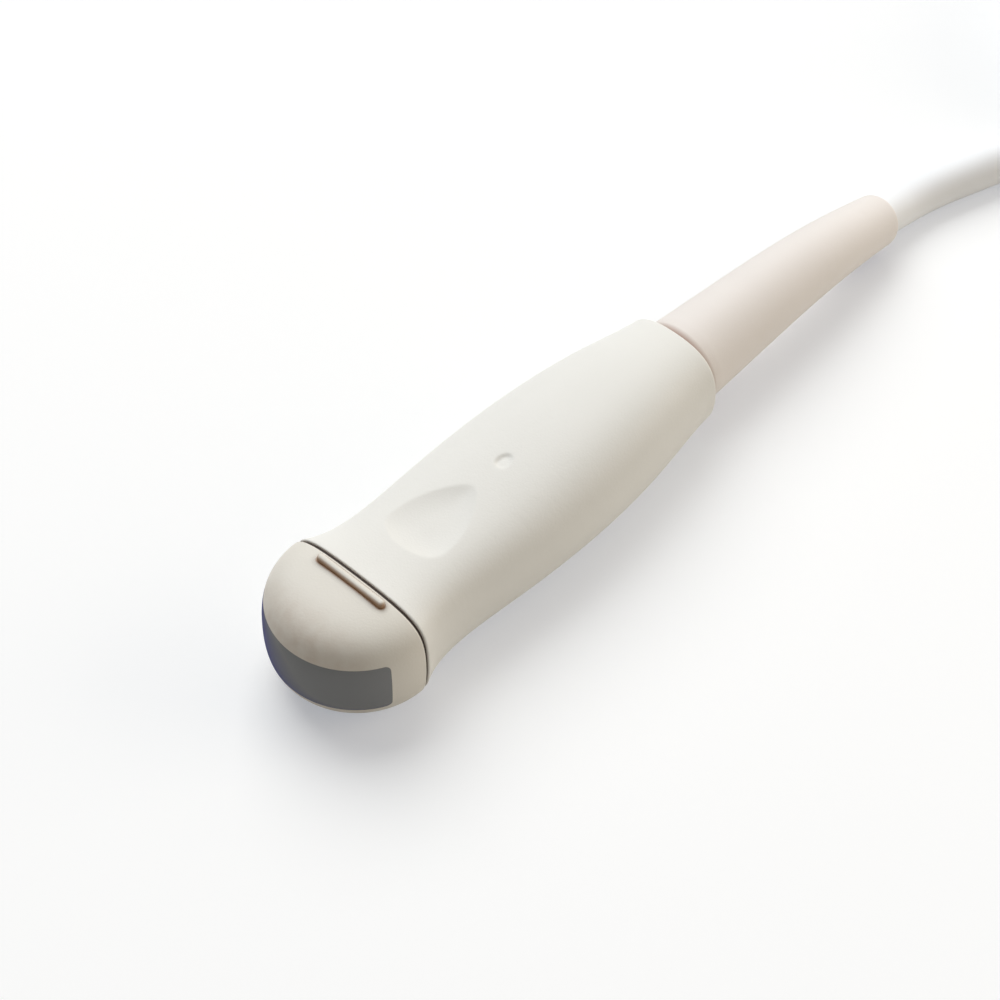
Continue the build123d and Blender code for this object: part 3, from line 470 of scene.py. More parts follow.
def all_finishes(colours):
    """Finish of each material slot in the record, by its name."""
    finishes = (
        # Painted shade on the nose: creases, the bar's front foot and its front
        nose_with_painted_shade("nose_plastic", colours.nose),
        # Painted dark bluish reflection on the lens at flat angles
        lens_silicone("lens_rubber", colours.lens),
        soft_rubber("seal_rubber", colours.seal, 0.7),
        moulded_plastic("handle_plastic", colours.handle, 0.52),
        # Painted shade on the boot: creases and a line at its root
        boot_with_painted_shade("boot_rubber", colours.boot),
        satin_jacket("cable_jacket", colours.cable),
        moulded_plastic("plug_plastic", colours.plug),
        moulded_plastic("knob_plastic", colours.knob, 0.45),
        woven_fabric("tie_fabric", colours.tie),
        moulded_plastic("contact_plastic", (0.13, 0.13, 0.14), 0.4),
        moulded_plastic("core_insulation", (0.80, 0.78, 0.72), 0.4),
        filled_resin("matching_epoxy", (0.42, 0.36, 0.28)),
        filled_resin("piezo_ceramic", (0.72, 0.66, 0.52)),
        filled_resin("backing_epoxy", (0.16, 0.15, 0.15)),
        filled_resin("flex_film", (0.72, 0.45, 0.15), 0.3),
        filled_resin("board_laminate", (0.08, 0.30, 0.16), 0.35),
        worked_metal("shield_sheet", (0.80, 0.80, 0.78)),
        worked_metal("clamp_alloy", (0.78, 0.79, 0.80), 0.4),
        worked_metal("screw_steel", (0.70, 0.70, 0.71)),
        worked_metal("ferrule_brass", (0.85, 0.70, 0.38)),
        worked_metal("shaft_steel", (0.72, 0.72, 0.73), 0.25),
    )
    return {finish.name: finish for finish in finishes}


# Route of the cable from the boot's mouth to the hank, and from the hank to the plug, in metres
LEAD_IN = [
    (0.06688, 0.00058, 0.00637),
    (0.07420, 0.00087, 0.00451),
    (0.07944, 0.00070, 0.00377),
    (0.08494, -0.00036, 0.00360),
    (0.09070, -0.00210, 0.00350),
    (0.0995, -0.0049, 0.0035),
    (0.1145, -0.0142, 0.0035),
    (0.1260, -0.0250, 0.0035),
    (0.1355, -0.0345, 0.0035),
]
LEAD_OUT = [
    (0.1457, -0.0310, 0.0175),
    (0.1637, -0.0306, 0.0183),
    (0.1827, -0.0255, 0.0265),
    (0.2027, -0.0220, 0.0340),
    (0.2277, -0.0220, 0.0340),
]
# Lift of the legs that lie in the strap, for its layer under them
TIE_LIFT = 0.0008


def hank_route(cable):
    """Route points of the folded turns. A turn changes its lane or layer a third of a leg before
    the turn under it does, so that no two turns ever share a place."""
    step = cable.diameter
    outer, inner = 4 * step, 3 * step
    low, middle, high = step / 2, 1.5 * step, 2.5 * step
    near = Vector((cable.hank_x, cable.hank_y, 0))
    far = near + Vector((cable.hank_straight, 0, 0))
    turn = math.pi / cable.fold_points
    points = []

    def fold(centre, first_angle, lane, rise):
        for i in range(cable.fold_points):
            angle = first_angle + (i + 0.5) * turn
            reach = lane / math.cos(turn / 2)
            share = (i + 0.5) / cable.fold_points
            height = rise[0] + (rise[1] - rise[0]) * share
            points.append(centre + Vector((reach * math.cos(angle), reach * math.sin(angle), height)))

    def far_fold(lane, rise):
        fold(far, -math.pi / 2, lane, rise)

    def near_fold(lane, rise):
        fold(near, math.pi / 2, lane, rise)

    def leg(side, stops):
        for share, lane, height in stops:
            along = share if side < 0 else 1 - share
            lift = TIE_LIFT if side > 0 and 0 < share < 1 else 0
            place = near + Vector((cable.hank_straight * along, side * lane, height + lift))
            points.append(place)

    first, second = 1 / 3, 2 / 3
    points.append(near + Vector((0, -outer, low)))
    leg(-1, [(first, outer, low), (second, outer, low)])
    far_fold(outer, (low, low))
    leg(1, [(first, outer, low), (second, outer, low), (1, inner, low)])
    near_fold(inner, (low, low))
    leg(-1, [(first, inner, low), (second, inner, low)])
    far_fold(inner, (low, low))
    leg(1, [(first, inner, low), (second, inner, middle)])
    near_fold(inner, (middle, middle))
    leg(-1, [(first, inner, middle), (second, inner, middle)])
    far_fold(inner, (middle, middle))
    leg(1, [(0, inner, middle), (first, outer, middle), (second, outer, middle)])
    near_fold(outer, (low, middle))
    leg(-1, [(first, outer, middle), (second, outer, middle)])
    far_fold(outer, (middle, high))
    leg(1, [(first, outer, high), (second, outer, high)])
    near_fold(outer, (middle, high))
    leg(-1, [(first, outer, high), (second, outer, high), (1, inner, high)])
    far_fold(inner, (high, high))
    leg(1, [(first, inner, high), (second, inner, high)])
    near_fold(inner, (high, high))
    return points


def add_object(context, name, data):
    """New object at the scene's origin."""
    made = bpy.data.objects.new(name, data)
    context.scene.collection.objects.link(made)
    return made


def new_curve(name, kind, points):
    """Curve data with one spline through these points."""
    curve = bpy.data.curves.new(name, "CURVE")
    curve.dimensions = "3D"
    spline = curve.splines.new(kind)
    spline.points.add(len(points) - 1)
    for knot, place in zip(spline.points, points):
        knot.co = (*place, 1.0)
    return curve, spline


# The plug's middle in X and Z, the height of the pins' middles, and a pin's tip as a share of its foot
PLUG_MIDDLE = (0.2487, 0.0340)
PIN_MIDDLE_Y = -0.02995
PIN_TIP = 0.6
# Ring of ribs on the knob: radius and place along the shaft; stretch of a rib
KNOB_RING = (0.0110, 0.01105)
RIB_SHAPE = (1, 1, 2.5)
# Screws: radius and height of the head and of the shank, spread, top, and lift of the drive in the head
SCREW_HEAD = (0.0020, 0.0014)
SCREW_SHANK = (0.0011, 0.0285)
SCREW_SPREAD = (0.0408, 0.0168)
SCREW_TOP_Y = 0.0090
DRIVE_LIFT = 0.45
# The strap's middle line round one leg of the hank: centre, half sizes and corner
STRAP_CENTRE = (0.1847, 0.0145, 0.0113)
STRAP_HALF = (0.0074, 0.0109)
STRAP_CORNER = 0.0034
STRAP_CORNER_STEPS = 6
# In thicknesses of the strap: distance between its layers, and round of its edges
STRAP_LAP = 1.06
STRAP_EDGE = 0.35
# The strap's free end: height at which it starts to lift, in half heights, and its lift, in layers
STRAP_END_START, STRAP_END_LIFT = 0.25, 1.5


SOCKET_KINDS = {
    float: "NodeSocketFloat", int: "NodeSocketInt", tuple: "NodeSocketVector",
    type(None): "NodeSocketGeometry",
}


def start_tree(name, sizes):
    """Geometry tree with an input for each size, and the inputs' sockets; None stands for geometry."""
    tree = bpy.data.node_groups.new(name, "GeometryNodeTree")
    for label, size in sizes.items():
        tree.interface.new_socket(label, in_out="INPUT", socket_type=SOCKET_KINDS[type(size)])
    tree.interface.new_socket("Geometry", in_out="OUTPUT", socket_type="NodeSocketGeometry")
    return tree, tree.nodes.new("NodeGroupInput").outputs


def add_node(tree, kind, **feeds):
    """New node whose inputs, named with _ for a space, are linked to a socket or set to a value."""
    made = tree.nodes.new("GeometryNode" + kind)
    for label, feed in feeds.items():
        socket = made.inputs[label.replace("_", " ")]
        if isinstance(feed, bpy.types.NodeSocket):
            tree.links.new(feed, socket)
        else:
            socket.default_value = feed
    return made.outputs[0]


def end_tree(tree, geometry, material):
    """Make the instances real, give them their finish and send them out."""
    whole = add_node(tree, "RealizeInstances", Geometry=geometry)
    dressed = add_node(tree, "SetMaterial", Geometry=whole, Material=material)
    tree.links.new(dressed, tree.nodes.new("NodeGroupOutput").inputs[0])


def grow(context, tree, sizes, start=None):
    """Run a geometry tree once on its starting data and keep the result as a plain mesh piece."""
    name = tree.name
    seed = add_object(context, name + "_start", start or bpy.data.meshes.new(name + "_start"))
    modifier = seed.modifiers.new("tree", "NODES")
    modifier.node_group = tree
    for item in tree.interface.items_tree:
        if item.in_out == "INPUT" and sizes[item.name] is not None:
            modifier[item.identifier] = sizes[item.name]
    mesh = bpy.data.meshes.new_from_object(seed.evaluated_get(context.evaluated_depsgraph_get()))
    mesh.name = name
    bpy.data.objects.remove(seed)
    return add_object(context, name, mesh)


def rows_of(tree, instance, *lines):
    """Repeat an instance along each line in turn; a line is a count, a step and maybe a start."""
    for count, step, *first in lines:
        places = add_node(tree, "MeshLine", Count=count, Offset=step)
        if first:
            tree.links.new(first[0], places.node.inputs["Start Location"])
        instance = add_node(tree, "InstanceOnPoints", Points=places, Instance=instance)
    return instance


# Start of the rays that find the handle's wall, and how far the skin's first rings stay inside its ends
RAY_REACH = 0.05
END_SKIN = 0.000003
# Distances of the skin's rings from the handle's ends and from the seam: round edge, plain, fine
FRONT_RINGS = (0.00002, 0.00007, 0.00015, 0.00025, 0.0005, 0.001)
REAR_RINGS = (0.0006, 0.00045, 0.0003, 0.00018, 0.00009, 0.00003)
FINE_SPAN = (0.0075, 0.0365)
FINE_STEP, PLAIN_STEP = 0.00022, 0.00075
FINE_ANGLE, FINE_TURN, PLAIN_TURN = 0.75, 0.022, 0.07
# Part of the top that a fitted surface carries across the cuts in the solid
FIT_SPAN = (0.0045, 0.0430)
FIT_HALF_WIDTH = 0.0082
FIT_ORDER = (7, 4)
LIP_SOFTNESS = 0.00012
# How much deeper the dimple is on its far side than in its middle
DIMPLE_LEAN = 0.6
# Shapes of the recess and the dimple: place of the front corners, place and width of the sides, as shares
# of length, length and half width, and the corners' blend
RECESS_SHAPE = (0.12, 0.6, 0.8, 0.0007)
DIMPLE_SHAPE = (0.16, 0.6, 0.72, 0.00022)
# A triangle over the solid's own dimple: lead before the dimple, length, half width and shape
OLD_DIMPLE_LEAD = 0.0013
OLD_DIMPLE = (0.0100, 0.0026, 0.3, 0.6, 0.8, 0.0004)
# How far past the recess and past that triangle the fitted surface reaches, and over what width it fades
RECESS_MARGIN, RECESS_FADE = 0.0021, 0.0009
DIMPLE_MARGIN, DIMPLE_FADE = 0.0006, 0.0006
FIT_ROUNDS = 8
SHARP_ANGLE = math.radians(50)


def steps_between(first, last, step):
    """Even values from first to last, both included, at most a step apart."""
    return list(numpy.linspace(first, last, max(2, math.ceil(abs(last - first) / step) + 1)))


def circle_through(a, b, c):
    """Centre and radius of the circle through three points."""
    double = 2 * (a[0] * (b[1] - c[1]) + b[0] * (c[1] - a[1]) + c[0] * (a[1] - b[1]))
    squares = [point[0] ** 2 + point[1] ** 2 for point in (a, b, c)]
    x = (squares[0] * (b[1] - c[1]) + squares[1] * (c[1] - a[1]) + squares[2] * (a[1] - b[1])) / double
    y = (squares[0] * (c[0] - b[0]) + squares[1] * (a[0] - c[0]) + squares[2] * (b[0] - a[0])) / double
    return (x, y), math.hypot(a[0] - x, a[1] - y)


def triangle_depth(x, y, start, length, half_width, front_share, side_along, side_across, blend):
    """How far points lie inside a triangle of three arcs with blended corners and its tip to the rear."""
    corner = (start + length * front_share, half_width)
    side = (start + length * side_along, half_width * side_across)
    tip = (start + length, 0.0)
    arcs = [circle_through((corner[0], -half_width), (start, 0.0), corner)]
    arcs.append(circle_through(corner, side, tip))
    arcs.append(((arcs[1][0][0], -arcs[1][0][1]), arcs[1][1]))
    inside = [radius - numpy.hypot(x - centre[0], y - centre[1]) for centre, radius in arcs]
    nearest = numpy.minimum.reduce(inside)
    crowd = sum(numpy.exp((nearest - depth) / blend) for depth in inside)
    return nearest - blend * numpy.log(crowd)


def scoop(inside, depth, slope_width):
    """Depth of a dish that starts at a soft lip and flattens towards its floor."""
    soft = (inside + numpy.sqrt(inside ** 2 + LIP_SOFTNESS ** 2)) / 2
    return depth * (1 - (1 - numpy.minimum(soft / slope_width, 1)) ** 2)


def ease(value):
    """Smooth step from 0 to 1."""
    share = numpy.clip(value, 0, 1)
    return share * share * (3 - 2 * share)


class PROBE_OT_handle(bpy.types.Operator):
    """Lay a fine skin over the handle with a soft thumb recess and index dimple"""

    bl_idname = "probe.handle"
    bl_label = "Skin the handle"

    def execute(self, context):
        sizes = context.scene.probe_handle
        solid = frame["nodes"]["handle"].data
        self.tree = BVHTree.FromPolygons(
            [vertex.co.copy() for vertex in solid.vertices], [tuple(face.vertices) for face in solid.polygons]
        )
        front, rear = (corner[0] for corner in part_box("handle"))
        stations = [front + END_SKIN] + [front + gap for gap in FRONT_RINGS[:-1]]
        stations += steps_between(front + FRONT_RINGS[-1], SEAM_X + FINE_SPAN[0], PLAIN_STEP)[:-1]
        stations += steps_between(SEAM_X + FINE_SPAN[0], SEAM_X + FINE_SPAN[1], FINE_STEP)[:-1]
        stations += steps_between(SEAM_X + FINE_SPAN[1], rear - REAR_RINGS[0], PLAIN_STEP)
        stations += [rear - gap for gap in REAR_RINGS[1:]] + [rear - END_SKIN]
        turns = steps_between(-FINE_ANGLE, FINE_ANGLE, FINE_TURN)
        turns += steps_between(FINE_ANGLE, 2 * math.pi - FINE_ANGLE, PLAIN_TURN)[1:-1]
        outer = self.top_form(sizes, *self.cast(stations, turns, True))
        inner = self.cast(steps_between(rear - END_SKIN, front + END_SKIN, 2 * PLAIN_STEP), turns, False)
        rings = [numpy.stack(outer, axis=-1), numpy.stack(inner, axis=-1)]
        rings[0][0, :, 0] = rings[1][-1, :, 0] = front
        rings[0][-1, :, 0] = rings[1][0, :, 0] = rear
        skin = self.close(numpy.concatenate(rings), context)
        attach(skin, "probe")
        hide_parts("handle")
        return {"FINISHED"}

    def cast(self, stations, turns, from_outside):
        """Places on the solid's outer or inner wall, ring by ring, as x, y and z grids."""
        x, turn = numpy.meshgrid(stations, turns, indexing="ij")
        reach = numpy.zeros_like(x)
        for place in numpy.ndindex(x.shape):
            out = Vector((0, math.sin(turn[place]), math.cos(turn[place])))
            axis_point = Vector((x[place], 0, AXIS_Z))
            if from_outside:
                hit = self.tree.ray_cast(axis_point + out * RAY_REACH, -out)
            else:
                hit = self.tree.ray_cast(axis_point, out)
            if hit[0] is None:
                raise RuntimeError("The handle's skin missed the solid")
            reach[place] = (hit[0] - axis_point).length
        return x, reach * numpy.sin(turn), AXIS_Z + reach * numpy.cos(turn)

    def top_form(self, sizes, x, y, z):
        """Carry the top smoothly across the solid's own cuts, then sink the soft ones."""
        recess_x = SEAM_X + sizes.recess_from_seam
        dimple_x = SEAM_X + sizes.dimple_from_seam
        recess = (recess_x, sizes.recess_length, sizes.recess_half_width, *RECESS_SHAPE)
        dimple = (dimple_x, sizes.dimple_length, sizes.dimple_half_width, *DIMPLE_SHAPE)
        old_dimple = (dimple_x - OLD_DIMPLE_LEAD, *OLD_DIMPLE)
        cut = numpy.maximum(
            ease((triangle_depth(x, y, *recess) + RECESS_MARGIN) / RECESS_FADE),
            ease((triangle_depth(x, y, *old_dimple) + DIMPLE_MARGIN) / DIMPLE_FADE),
        )
        top = (z > AXIS_Z) & (numpy.abs(y) < FIT_HALF_WIDTH)
        top &= (x > SEAM_X + FIT_SPAN[0]) & (x < SEAM_X + FIT_SPAN[1])
        known = top & (cut == 0)
        weights = numpy.linalg.lstsq(self.powers(x[known], y[known]), z[known], rcond=None)[0]
        mended = top & (cut > 0)
        far = z[mended] - AXIS_Z
        tangent = y[mended] / far
        for _ in range(FIT_ROUNDS):
            far = self.powers(x[mended], tangent * far) @ weights - AXIS_Z
        share = cut[mended]
        y[mended] += share * (tangent * far - y[mended])
        z[mended] += share * (AXIS_Z + far - z[mended])
        sink = scoop(triangle_depth(x, y, *recess), sizes.recess_depth, sizes.recess_slope_width)
        leaning = sizes.dimple_depth * (1 + DIMPLE_LEAN * numpy.clip(y / sizes.dimple_half_width, -1, 1))
        sink += scoop(triangle_depth(x, y, *dimple), leaning, sizes.dimple_slope_width)
        return x, y, numpy.where(top, z - sink, z)

    def powers(self, x, y):
        """Terms of a surface that is the same on both sides of the handle."""
        along = (x - SEAM_X) / FIT_SPAN[1] * 2 - 1
        across = (y / FIT_HALF_WIDTH) ** 2
        terms = [along ** i * across ** j for i in range(FIT_ORDER[0]) for j in range(FIT_ORDER[1])]
        return numpy.stack(terms, axis=-1)

    def close(self, rings, context):
        """One closed mesh through all rings, outer wall first."""
        count, around = rings.shape[:2]
        faces = []
        for ring in range(count):
            after = (ring + 1) % count
            for i in range(around):
                j = (i + 1) % around
                faces.append((ring * around + i, ring * around + j, after * around + j, after * around + i))
        mesh = bpy.data.meshes.new("handle_skin")
        mesh.from_pydata(rings.reshape(-1, 3).tolist(), [], faces)
        shell = bmesh.new()
        shell.from_mesh(mesh)
        bmesh.ops.recalc_face_normals(shell, faces=shell.faces)
        shell.to_mesh(mesh)
        shell.free()
        mesh.shade_smooth()
        mesh.set_sharp_from_angle(angle=SHARP_ANGLE)
        mesh.materials.append(bpy.data.materials["handle_plastic"])
        return add_object(context, "handle_skin", mesh)


class PROBE_OT_contacts(bpy.types.Operator):
    """Stand a gilt pin in every socket of the contact block"""

    bl_idname = "probe.contacts"
    bl_label = "Fit the contacts"

    def execute(self, context):
        plug = context.scene.probe_plug
        first_x = PLUG_MIDDLE[0] - plug.bank_spacing / 2 - plug.pin_pitch * (plug.pin_columns - 1) / 2
        first_z = PLUG_MIDDLE[1] - plug.pin_pitch * (plug.pin_rows - 1) / 2
        sizes = {
            "Foot radius": plug.pin_radius, "Tip radius": plug.pin_radius * PIN_TIP,
            "Length": plug.pin_length, "Columns": plug.pin_columns, "Rows": plug.pin_rows,
            "Column step": (plug.pin_pitch, 0, 0), "Row step": (0, 0, plug.pin_pitch),
            "Bank step": (plug.bank_spacing, 0, 0), "First pin": (first_x, PIN_MIDDLE_Y, first_z),
        }
        tree, size = start_tree("contact_pins", sizes)
        pin = add_node(
            tree, "MeshCone", Vertices=8, Radius_Top=size["Tip radius"], Radius_Bottom=size["Foot radius"],
            Depth=size["Length"],
        )
        laid = add_node(tree, "Transform", Geometry=pin, Rotation=(math.pi / 2, 0, 0))
        banks = rows_of(
            tree, laid, (size["Columns"], size["Column step"]), (size["Rows"], size["Row step"]),
            (2, size["Bank step"], size["First pin"]),
        )
        end_tree(tree, banks, bpy.data.materials["ferrule_brass"])
        pins = grow(context, tree, sizes)
        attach(pins, "probe")
        return {"FINISHED"}


class PROBE_OT_knob_ribs(bpy.types.Operator):
    """Set grip ribs round the edge of the lock knob"""

    bl_idname = "probe.knob_ribs"
    bl_label = "Rib the knob"

    def execute(self, context):
        plug = context.scene.probe_plug
        ring_radius, ring_y = KNOB_RING
        sizes = {
            "Count": plug.rib_count, "Ring radius": ring_radius, "Rib radius": plug.rib_radius,
            "Rib shape": RIB_SHAPE, "Centre": (PLUG_MIDDLE[0], ring_y, PLUG_MIDDLE[1]),
        }
        tree, size = start_tree("knob_ribs", sizes)
        ring = add_node(tree, "MeshCircle", Vertices=size["Count"], Radius=size["Ring radius"])
        bead = add_node(tree, "MeshUVSphere", Segments=10, Rings=8, Radius=size["Rib radius"])
        rib = add_node(tree, "Transform", Geometry=bead, Scale=size["Rib shape"])
        smooth = add_node(tree, "SetShadeSmooth", Geometry=rib)
        crown = add_node(tree, "InstanceOnPoints", Points=ring, Instance=smooth)
        placed = add_node(
            tree, "Transform", Geometry=crown, Translation=size["Centre"], Rotation=(math.pi / 2, 0, 0)
        )
        end_tree(tree, placed, bpy.data.materials["knob_plastic"])
        ribs = grow(context, tree, sizes)
        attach(ribs, "lock")
        return {"FINISHED"}


class PROBE_OT_plug_screws(bpy.types.Operator):
    """Put hexagon socket screws in the back of the plug"""

    bl_idname = "probe.plug_screws"
    bl_label = "Drive the screws"

    def execute(self, context):
        plug = context.scene.probe_plug
        head_radius, head_height = SCREW_HEAD
        shank_radius, shank_length = SCREW_SHANK
        across, up = SCREW_SPREAD
        middle_x, middle_z = PLUG_MIDDLE
        first_screw = (middle_x - across / 2, SCREW_TOP_Y - head_height / 2, middle_z - up / 2)
        sizes = {
            "Head radius": head_radius, "Head height": head_height, "Drive radius": plug.drive_radius,
            "Drive place": (0, 0, head_height * DRIVE_LIFT), "Shank radius": shank_radius,
            "Shank length": shank_length, "Shank place": (0, 0, -(head_height + shank_length) / 2),
            "Across": (across, 0, 0), "Up": (0, 0, up), "First screw": first_screw,
        }
        tree, size = start_tree("plug_screw_set", sizes)
        disc = add_node(
            tree, "MeshCylinder", Vertices=32, Radius=size["Head radius"], Depth=size["Head height"]
        )
        hexagon = add_node(
            tree, "MeshCylinder", Vertices=6, Radius=size["Drive radius"], Depth=size["Head height"]
        )
        drive = add_node(tree, "Transform", Geometry=hexagon, Translation=size["Drive place"])
        head = add_node(tree, "MeshBoolean", Mesh_1=disc, Mesh_2=drive)
        rod = add_node(
            tree, "MeshCylinder", Vertices=20, Radius=size["Shank radius"], Depth=size["Shank length"]
        )
        shank = add_node(tree, "Transform", Geometry=rod, Translation=size["Shank place"])
        screw = add_node(tree, "JoinGeometry", Geometry=head)
        tree.links.new(shank, screw.node.inputs["Geometry"])
        laid = add_node(tree, "Transform", Geometry=screw, Rotation=(-math.pi / 2, 0, 0))
        four = rows_of(tree, laid, (2, size["Across"]), (2, size["Up"], size["First screw"]))
        end_tree(tree, four, bpy.data.materials["screw_steel"])
        screws = grow(context, tree, sizes)
        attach(screws, "probe")
        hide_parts("plug_screws")
        return {"FINISHED"}


def strap_line(lap):
    """Points once round the leg of the hank and on over the strap's own start to its free end."""
    x, middle_y, middle_z = STRAP_CENTRE
    half_y, half_z = STRAP_HALF
    points = [(x, middle_y - half_y + STRAP_CORNER, middle_z + half_z)]

    def corner(side_y, side_z, first_angle, lift, last_lift):
        for i in range(STRAP_CORNER_STEPS + 1):
            share = i / STRAP_CORNER_STEPS
            reach = STRAP_CORNER + lift + (last_lift - lift) * share
            angle = first_angle - share * math.pi / 2
            y = middle_y + side_y * (half_y - STRAP_CORNER) + reach * math.cos(angle)
            z = middle_z + side_z * (half_z - STRAP_CORNER) + reach * math.sin(angle)
            points.append((x, y, z))

    corner(1, 1, math.pi / 2, 0, 0)
    corner(1, -1, 0, 0, 0)
    corner(-1, -1, -math.pi / 2, 0, 0)
    corner(-1, 1, -math.pi, 0, lap)
    corner(1, 1, math.pi / 2, lap, lap)
    points.append((x, middle_y + half_y + lap, middle_z + half_z * STRAP_END_START))
    points.append((x, middle_y + half_y + lap * STRAP_END_LIFT, middle_z))
    return points


class PROBE_OT_strap(bpy.types.Operator):
    """Wrap the strap round the hank with its free end over its start"""

    bl_idname = "probe.strap"
    bl_label = "Wrap the strap"

    def execute(self, context):
        plug = context.scene.probe_plug
        line = new_curve("coil_strap_line", "POLY", strap_line(plug.strap_thickness * STRAP_LAP))[0]
        sizes = {
            "Line": None, "Width": plug.strap_width, "Thickness": plug.strap_thickness,
            "Edge round": plug.strap_thickness * STRAP_EDGE,
        }
        tree, size = start_tree("coil_strap", sizes)
        section = add_node(
            tree, "CurvePrimitiveQuadrilateral", Width=size["Width"], Height=size["Thickness"]
        )
        rounded = add_node(tree, "FilletCurve", Curve=section, Radius=size["Edge round"])
        rounded.node.mode = "POLY"
        rounded.node.inputs["Count"].default_value = 3
        band = add_node(tree, "CurveToMesh", Curve=size["Line"], Profile_Curve=rounded, Fill_Caps=True)
        smooth = add_node(tree, "SetShadeSmooth", Geometry=band)
        end_tree(tree, smooth, bpy.data.materials["tie_fabric"])
        strap = grow(context, tree, sizes, line)
        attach(strap, "probe")
        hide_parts("coil_tie")
        return {"FINISHED"}


class PROBE_OT_finishes(bpy.types.Operator):
    """Give every solid of the frame its finish"""

    bl_idname = "probe.finishes"
    bl_label = "Finish the solids"

    def execute(self, context):
        finishes = all_finishes(context.scene.probe_finish)
        for solid in frame["nodes"].values():
            for slot in solid.material_slots:
                slot.material = finishes[slot.material.name.split(".")[0]]
        return {"FINISHED"}


class PROBE_OT_cable(bpy.types.Operator):
    """Lay the cable from the boot through its hank to the plug"""

    bl_idname = "probe.cable"
    bl_label = "Lay the cable"

    def execute(self, context):
        cable = context.scene.probe_cable
        route = [Vector(point) for point in LEAD_IN] + hank_route(cable)
        route += [Vector(point) for point in LEAD_OUT]
        curve, spline = new_curve("cable_line", "NURBS", route)
        spline.order_u = 3
        spline.use_endpoint_u = True
        spline.resolution_u = 8
        curve.bevel_depth = cable.diameter / 2
        curve.bevel_resolution = 8
        curve.use_fill_caps = True
        curve.materials.append(bpy.data.materials["cable_jacket"])
        line = add_object(context, "cable_line", curve)
        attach(line, "probe")
        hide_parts("cable", "cable_coil", "cable_end")
        return {"FINISHED"}


def light_rays(tree):
    """One where the ray comes from the camera, a reflection or a clear piece."""
    rays = tree.nodes.new("ShaderNodeLightPath").outputs
    either = reckon(tree, "MAXIMUM", rays["Is Camera Ray"], rays["Is Glossy Ray"])
    return reckon(tree, "MAXIMUM", either, rays["Is Transmission Ray"])


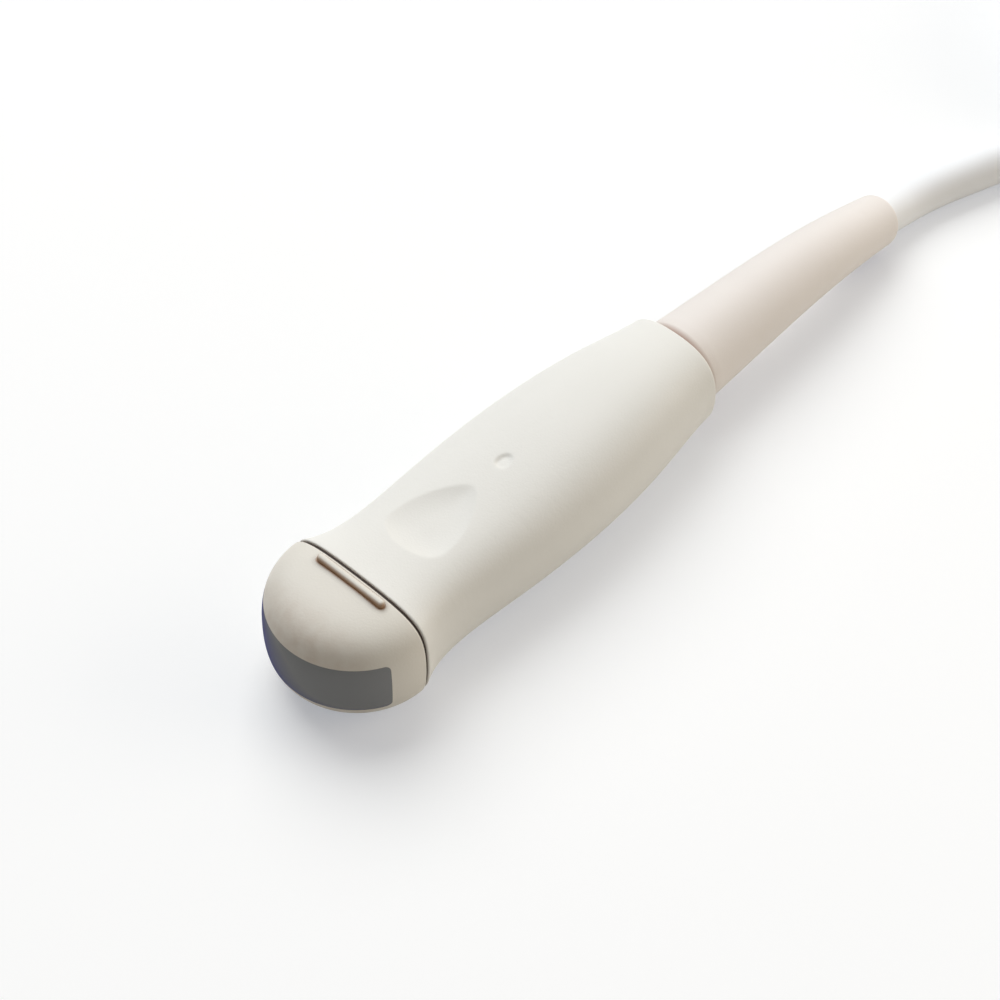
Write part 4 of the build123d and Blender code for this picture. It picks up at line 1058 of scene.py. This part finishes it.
class PROBE_OT_stage(bpy.types.Operator):
    """Set up the floor, the light and the camera"""

    bl_idname = "probe.stage"
    bl_label = "Set the stage"

    def execute(self, context):
        stage = context.scene.probe_stage
        context.scene.view_settings.view_transform = "Standard"
        self.lay_floor(context, stage)
        self.light(context, stage)
        self.place_camera(context, stage)
        return {"FINISHED"}

    def lay_floor(self, context, stage):
        half = stage.floor_size / 2
        mesh = bpy.data.meshes.new("studio_floor")
        corners = [(-half, -half, 0), (half, -half, 0), (half, half, 0), (-half, half, 0)]
        mesh.from_pydata(corners, [], [(0, 1, 2, 3)])
        floor = add_object(context, "studio_floor", mesh)
        material, tree, surface = clear_material("studio_floor")
        paper = tree.nodes.new("ShaderNodeBsdfDiffuse")
        paper.inputs["Color"].default_value = linear(stage.floor_colour)
        glow = tree.nodes.new("ShaderNodeEmission")
        glow.inputs["Color"].default_value = (*stage.floor_glow, 1.0)
        tree.links.new(light_rays(tree), glow.inputs["Strength"])
        both = tree.nodes.new("ShaderNodeAddShader")
        tree.links.new(paper.outputs["BSDF"], both.inputs[0])
        tree.links.new(glow.outputs["Emission"], both.inputs[1])
        tree.links.new(both.outputs["Shader"], surface)
        mesh.materials.append(material)

    def light(self, context, stage):
        world = bpy.data.worlds.new("studio")
        world.use_nodes = True
        tree = world.node_tree
        sky = tree.nodes["Background"]
        sky.inputs["Color"].default_value = (*stage.sky_colour, 1.0)
        heading_x = split_place(tree, "Generated")[0]
        lowest = stage.sky_level * (1 - stage.sky_lean)
        highest = stage.sky_level * (1 + stage.sky_lean)
        tree.links.new(ramp(tree, heading_x, -1.0, 1.0, lowest, highest), sky.inputs["Strength"])
        backdrop = tree.nodes.new("ShaderNodeBackground")
        choice = tree.nodes.new("ShaderNodeMixShader")
        tree.links.new(light_rays(tree), choice.inputs["Fac"])
        tree.links.new(sky.outputs["Background"], choice.inputs[1])
        tree.links.new(backdrop.outputs["Background"], choice.inputs[2])
        backdrop.inputs["Color"].default_value = (1.0, 1.0, 1.0, 1.0)
        tree.links.new(choice.outputs["Shader"], tree.nodes["World Output"].inputs["Surface"])
        context.scene.world = world
        key = self.hang_lamp(context, "key_lamp", stage.key_power, stage.key_colour, stage.key_size)
        self.aim(key, stage, compass(stage.key_azimuth, stage.key_elevation) * stage.key_distance)
        fill = self.hang_lamp(context, "fill_lamp", stage.fill_power, stage.fill_colour, stage.fill_size)
        self.aim(fill, stage, compass(stage.fill_azimuth, stage.fill_elevation) * stage.fill_distance)

    def hang_lamp(self, context, name, power, colour, size):
        lamp = bpy.data.lights.new(name, "AREA")
        lamp.energy = power
        lamp.color = colour
        lamp.size = size
        return add_object(context, name, lamp)

    def aim(self, holder, stage, offset):
        holder.location = Vector(stage.target) + offset
        holder.rotation_euler = offset.to_track_quat("Z", "Y").to_euler()

    def place_camera(self, context, stage):
        lens = bpy.data.cameras.new("photo_camera")
        lens.lens = stage.lens
        lens.clip_start = CAMERA_NEAR
        camera = add_object(context, "photo_camera", lens)
        forward = compass(stage.azimuth, -stage.elevation)
        camera.location = Vector(stage.target) - forward * stage.distance
        camera.rotation_euler = forward.to_track_quat("-Z", "Y").to_euler()
        context.scene.camera = camera


class PROBE_PT_panel(bpy.types.Panel):
    """Steps that dress the probe, in order"""

    bl_idname = "PROBE_PT_panel"
    bl_label = "Probe"
    bl_space_type = "VIEW_3D"
    bl_region_type = "UI"
    bl_category = "Probe"

    def draw(self, context):
        for step in STEPS:
            self.layout.operator(step.bl_idname)


STEPS = (
    PROBE_OT_finishes, PROBE_OT_handle, PROBE_OT_contacts, PROBE_OT_knob_ribs, PROBE_OT_plug_screws,
    PROBE_OT_strap, PROBE_OT_cable, PROBE_OT_stage,
)
SETTINGS = {
    "probe_handle": ProbeHandleSettings,
    "probe_plug": ProbePlugSettings,
    "probe_cable": ProbeCableSettings,
    "probe_finish": ProbeFinishSettings,
    "probe_stage": ProbeStageSettings,
}


def register():
    for group in SETTINGS.values():
        bpy.utils.register_class(group)
    for step in STEPS:
        bpy.utils.register_class(step)
    bpy.utils.register_class(PROBE_PT_panel)
    for name, group in SETTINGS.items():
        setattr(bpy.types.Scene, name, PointerProperty(type=group))


def unregister():
    for name in SETTINGS:
        delattr(bpy.types.Scene, name)
    for kind in (PROBE_PT_panel, *reversed(STEPS), *reversed(SETTINGS.values())):
        bpy.utils.unregister_class(kind)


def main():
    register()
    bpy.ops.probe.finishes()
    bpy.ops.probe.handle()
    bpy.ops.probe.contacts()
    bpy.ops.probe.knob_ribs()
    bpy.ops.probe.plug_screws()
    bpy.ops.probe.strap()
    bpy.ops.probe.cable()
    bpy.ops.probe.stage()


if __name__ == "__main__":
    main()
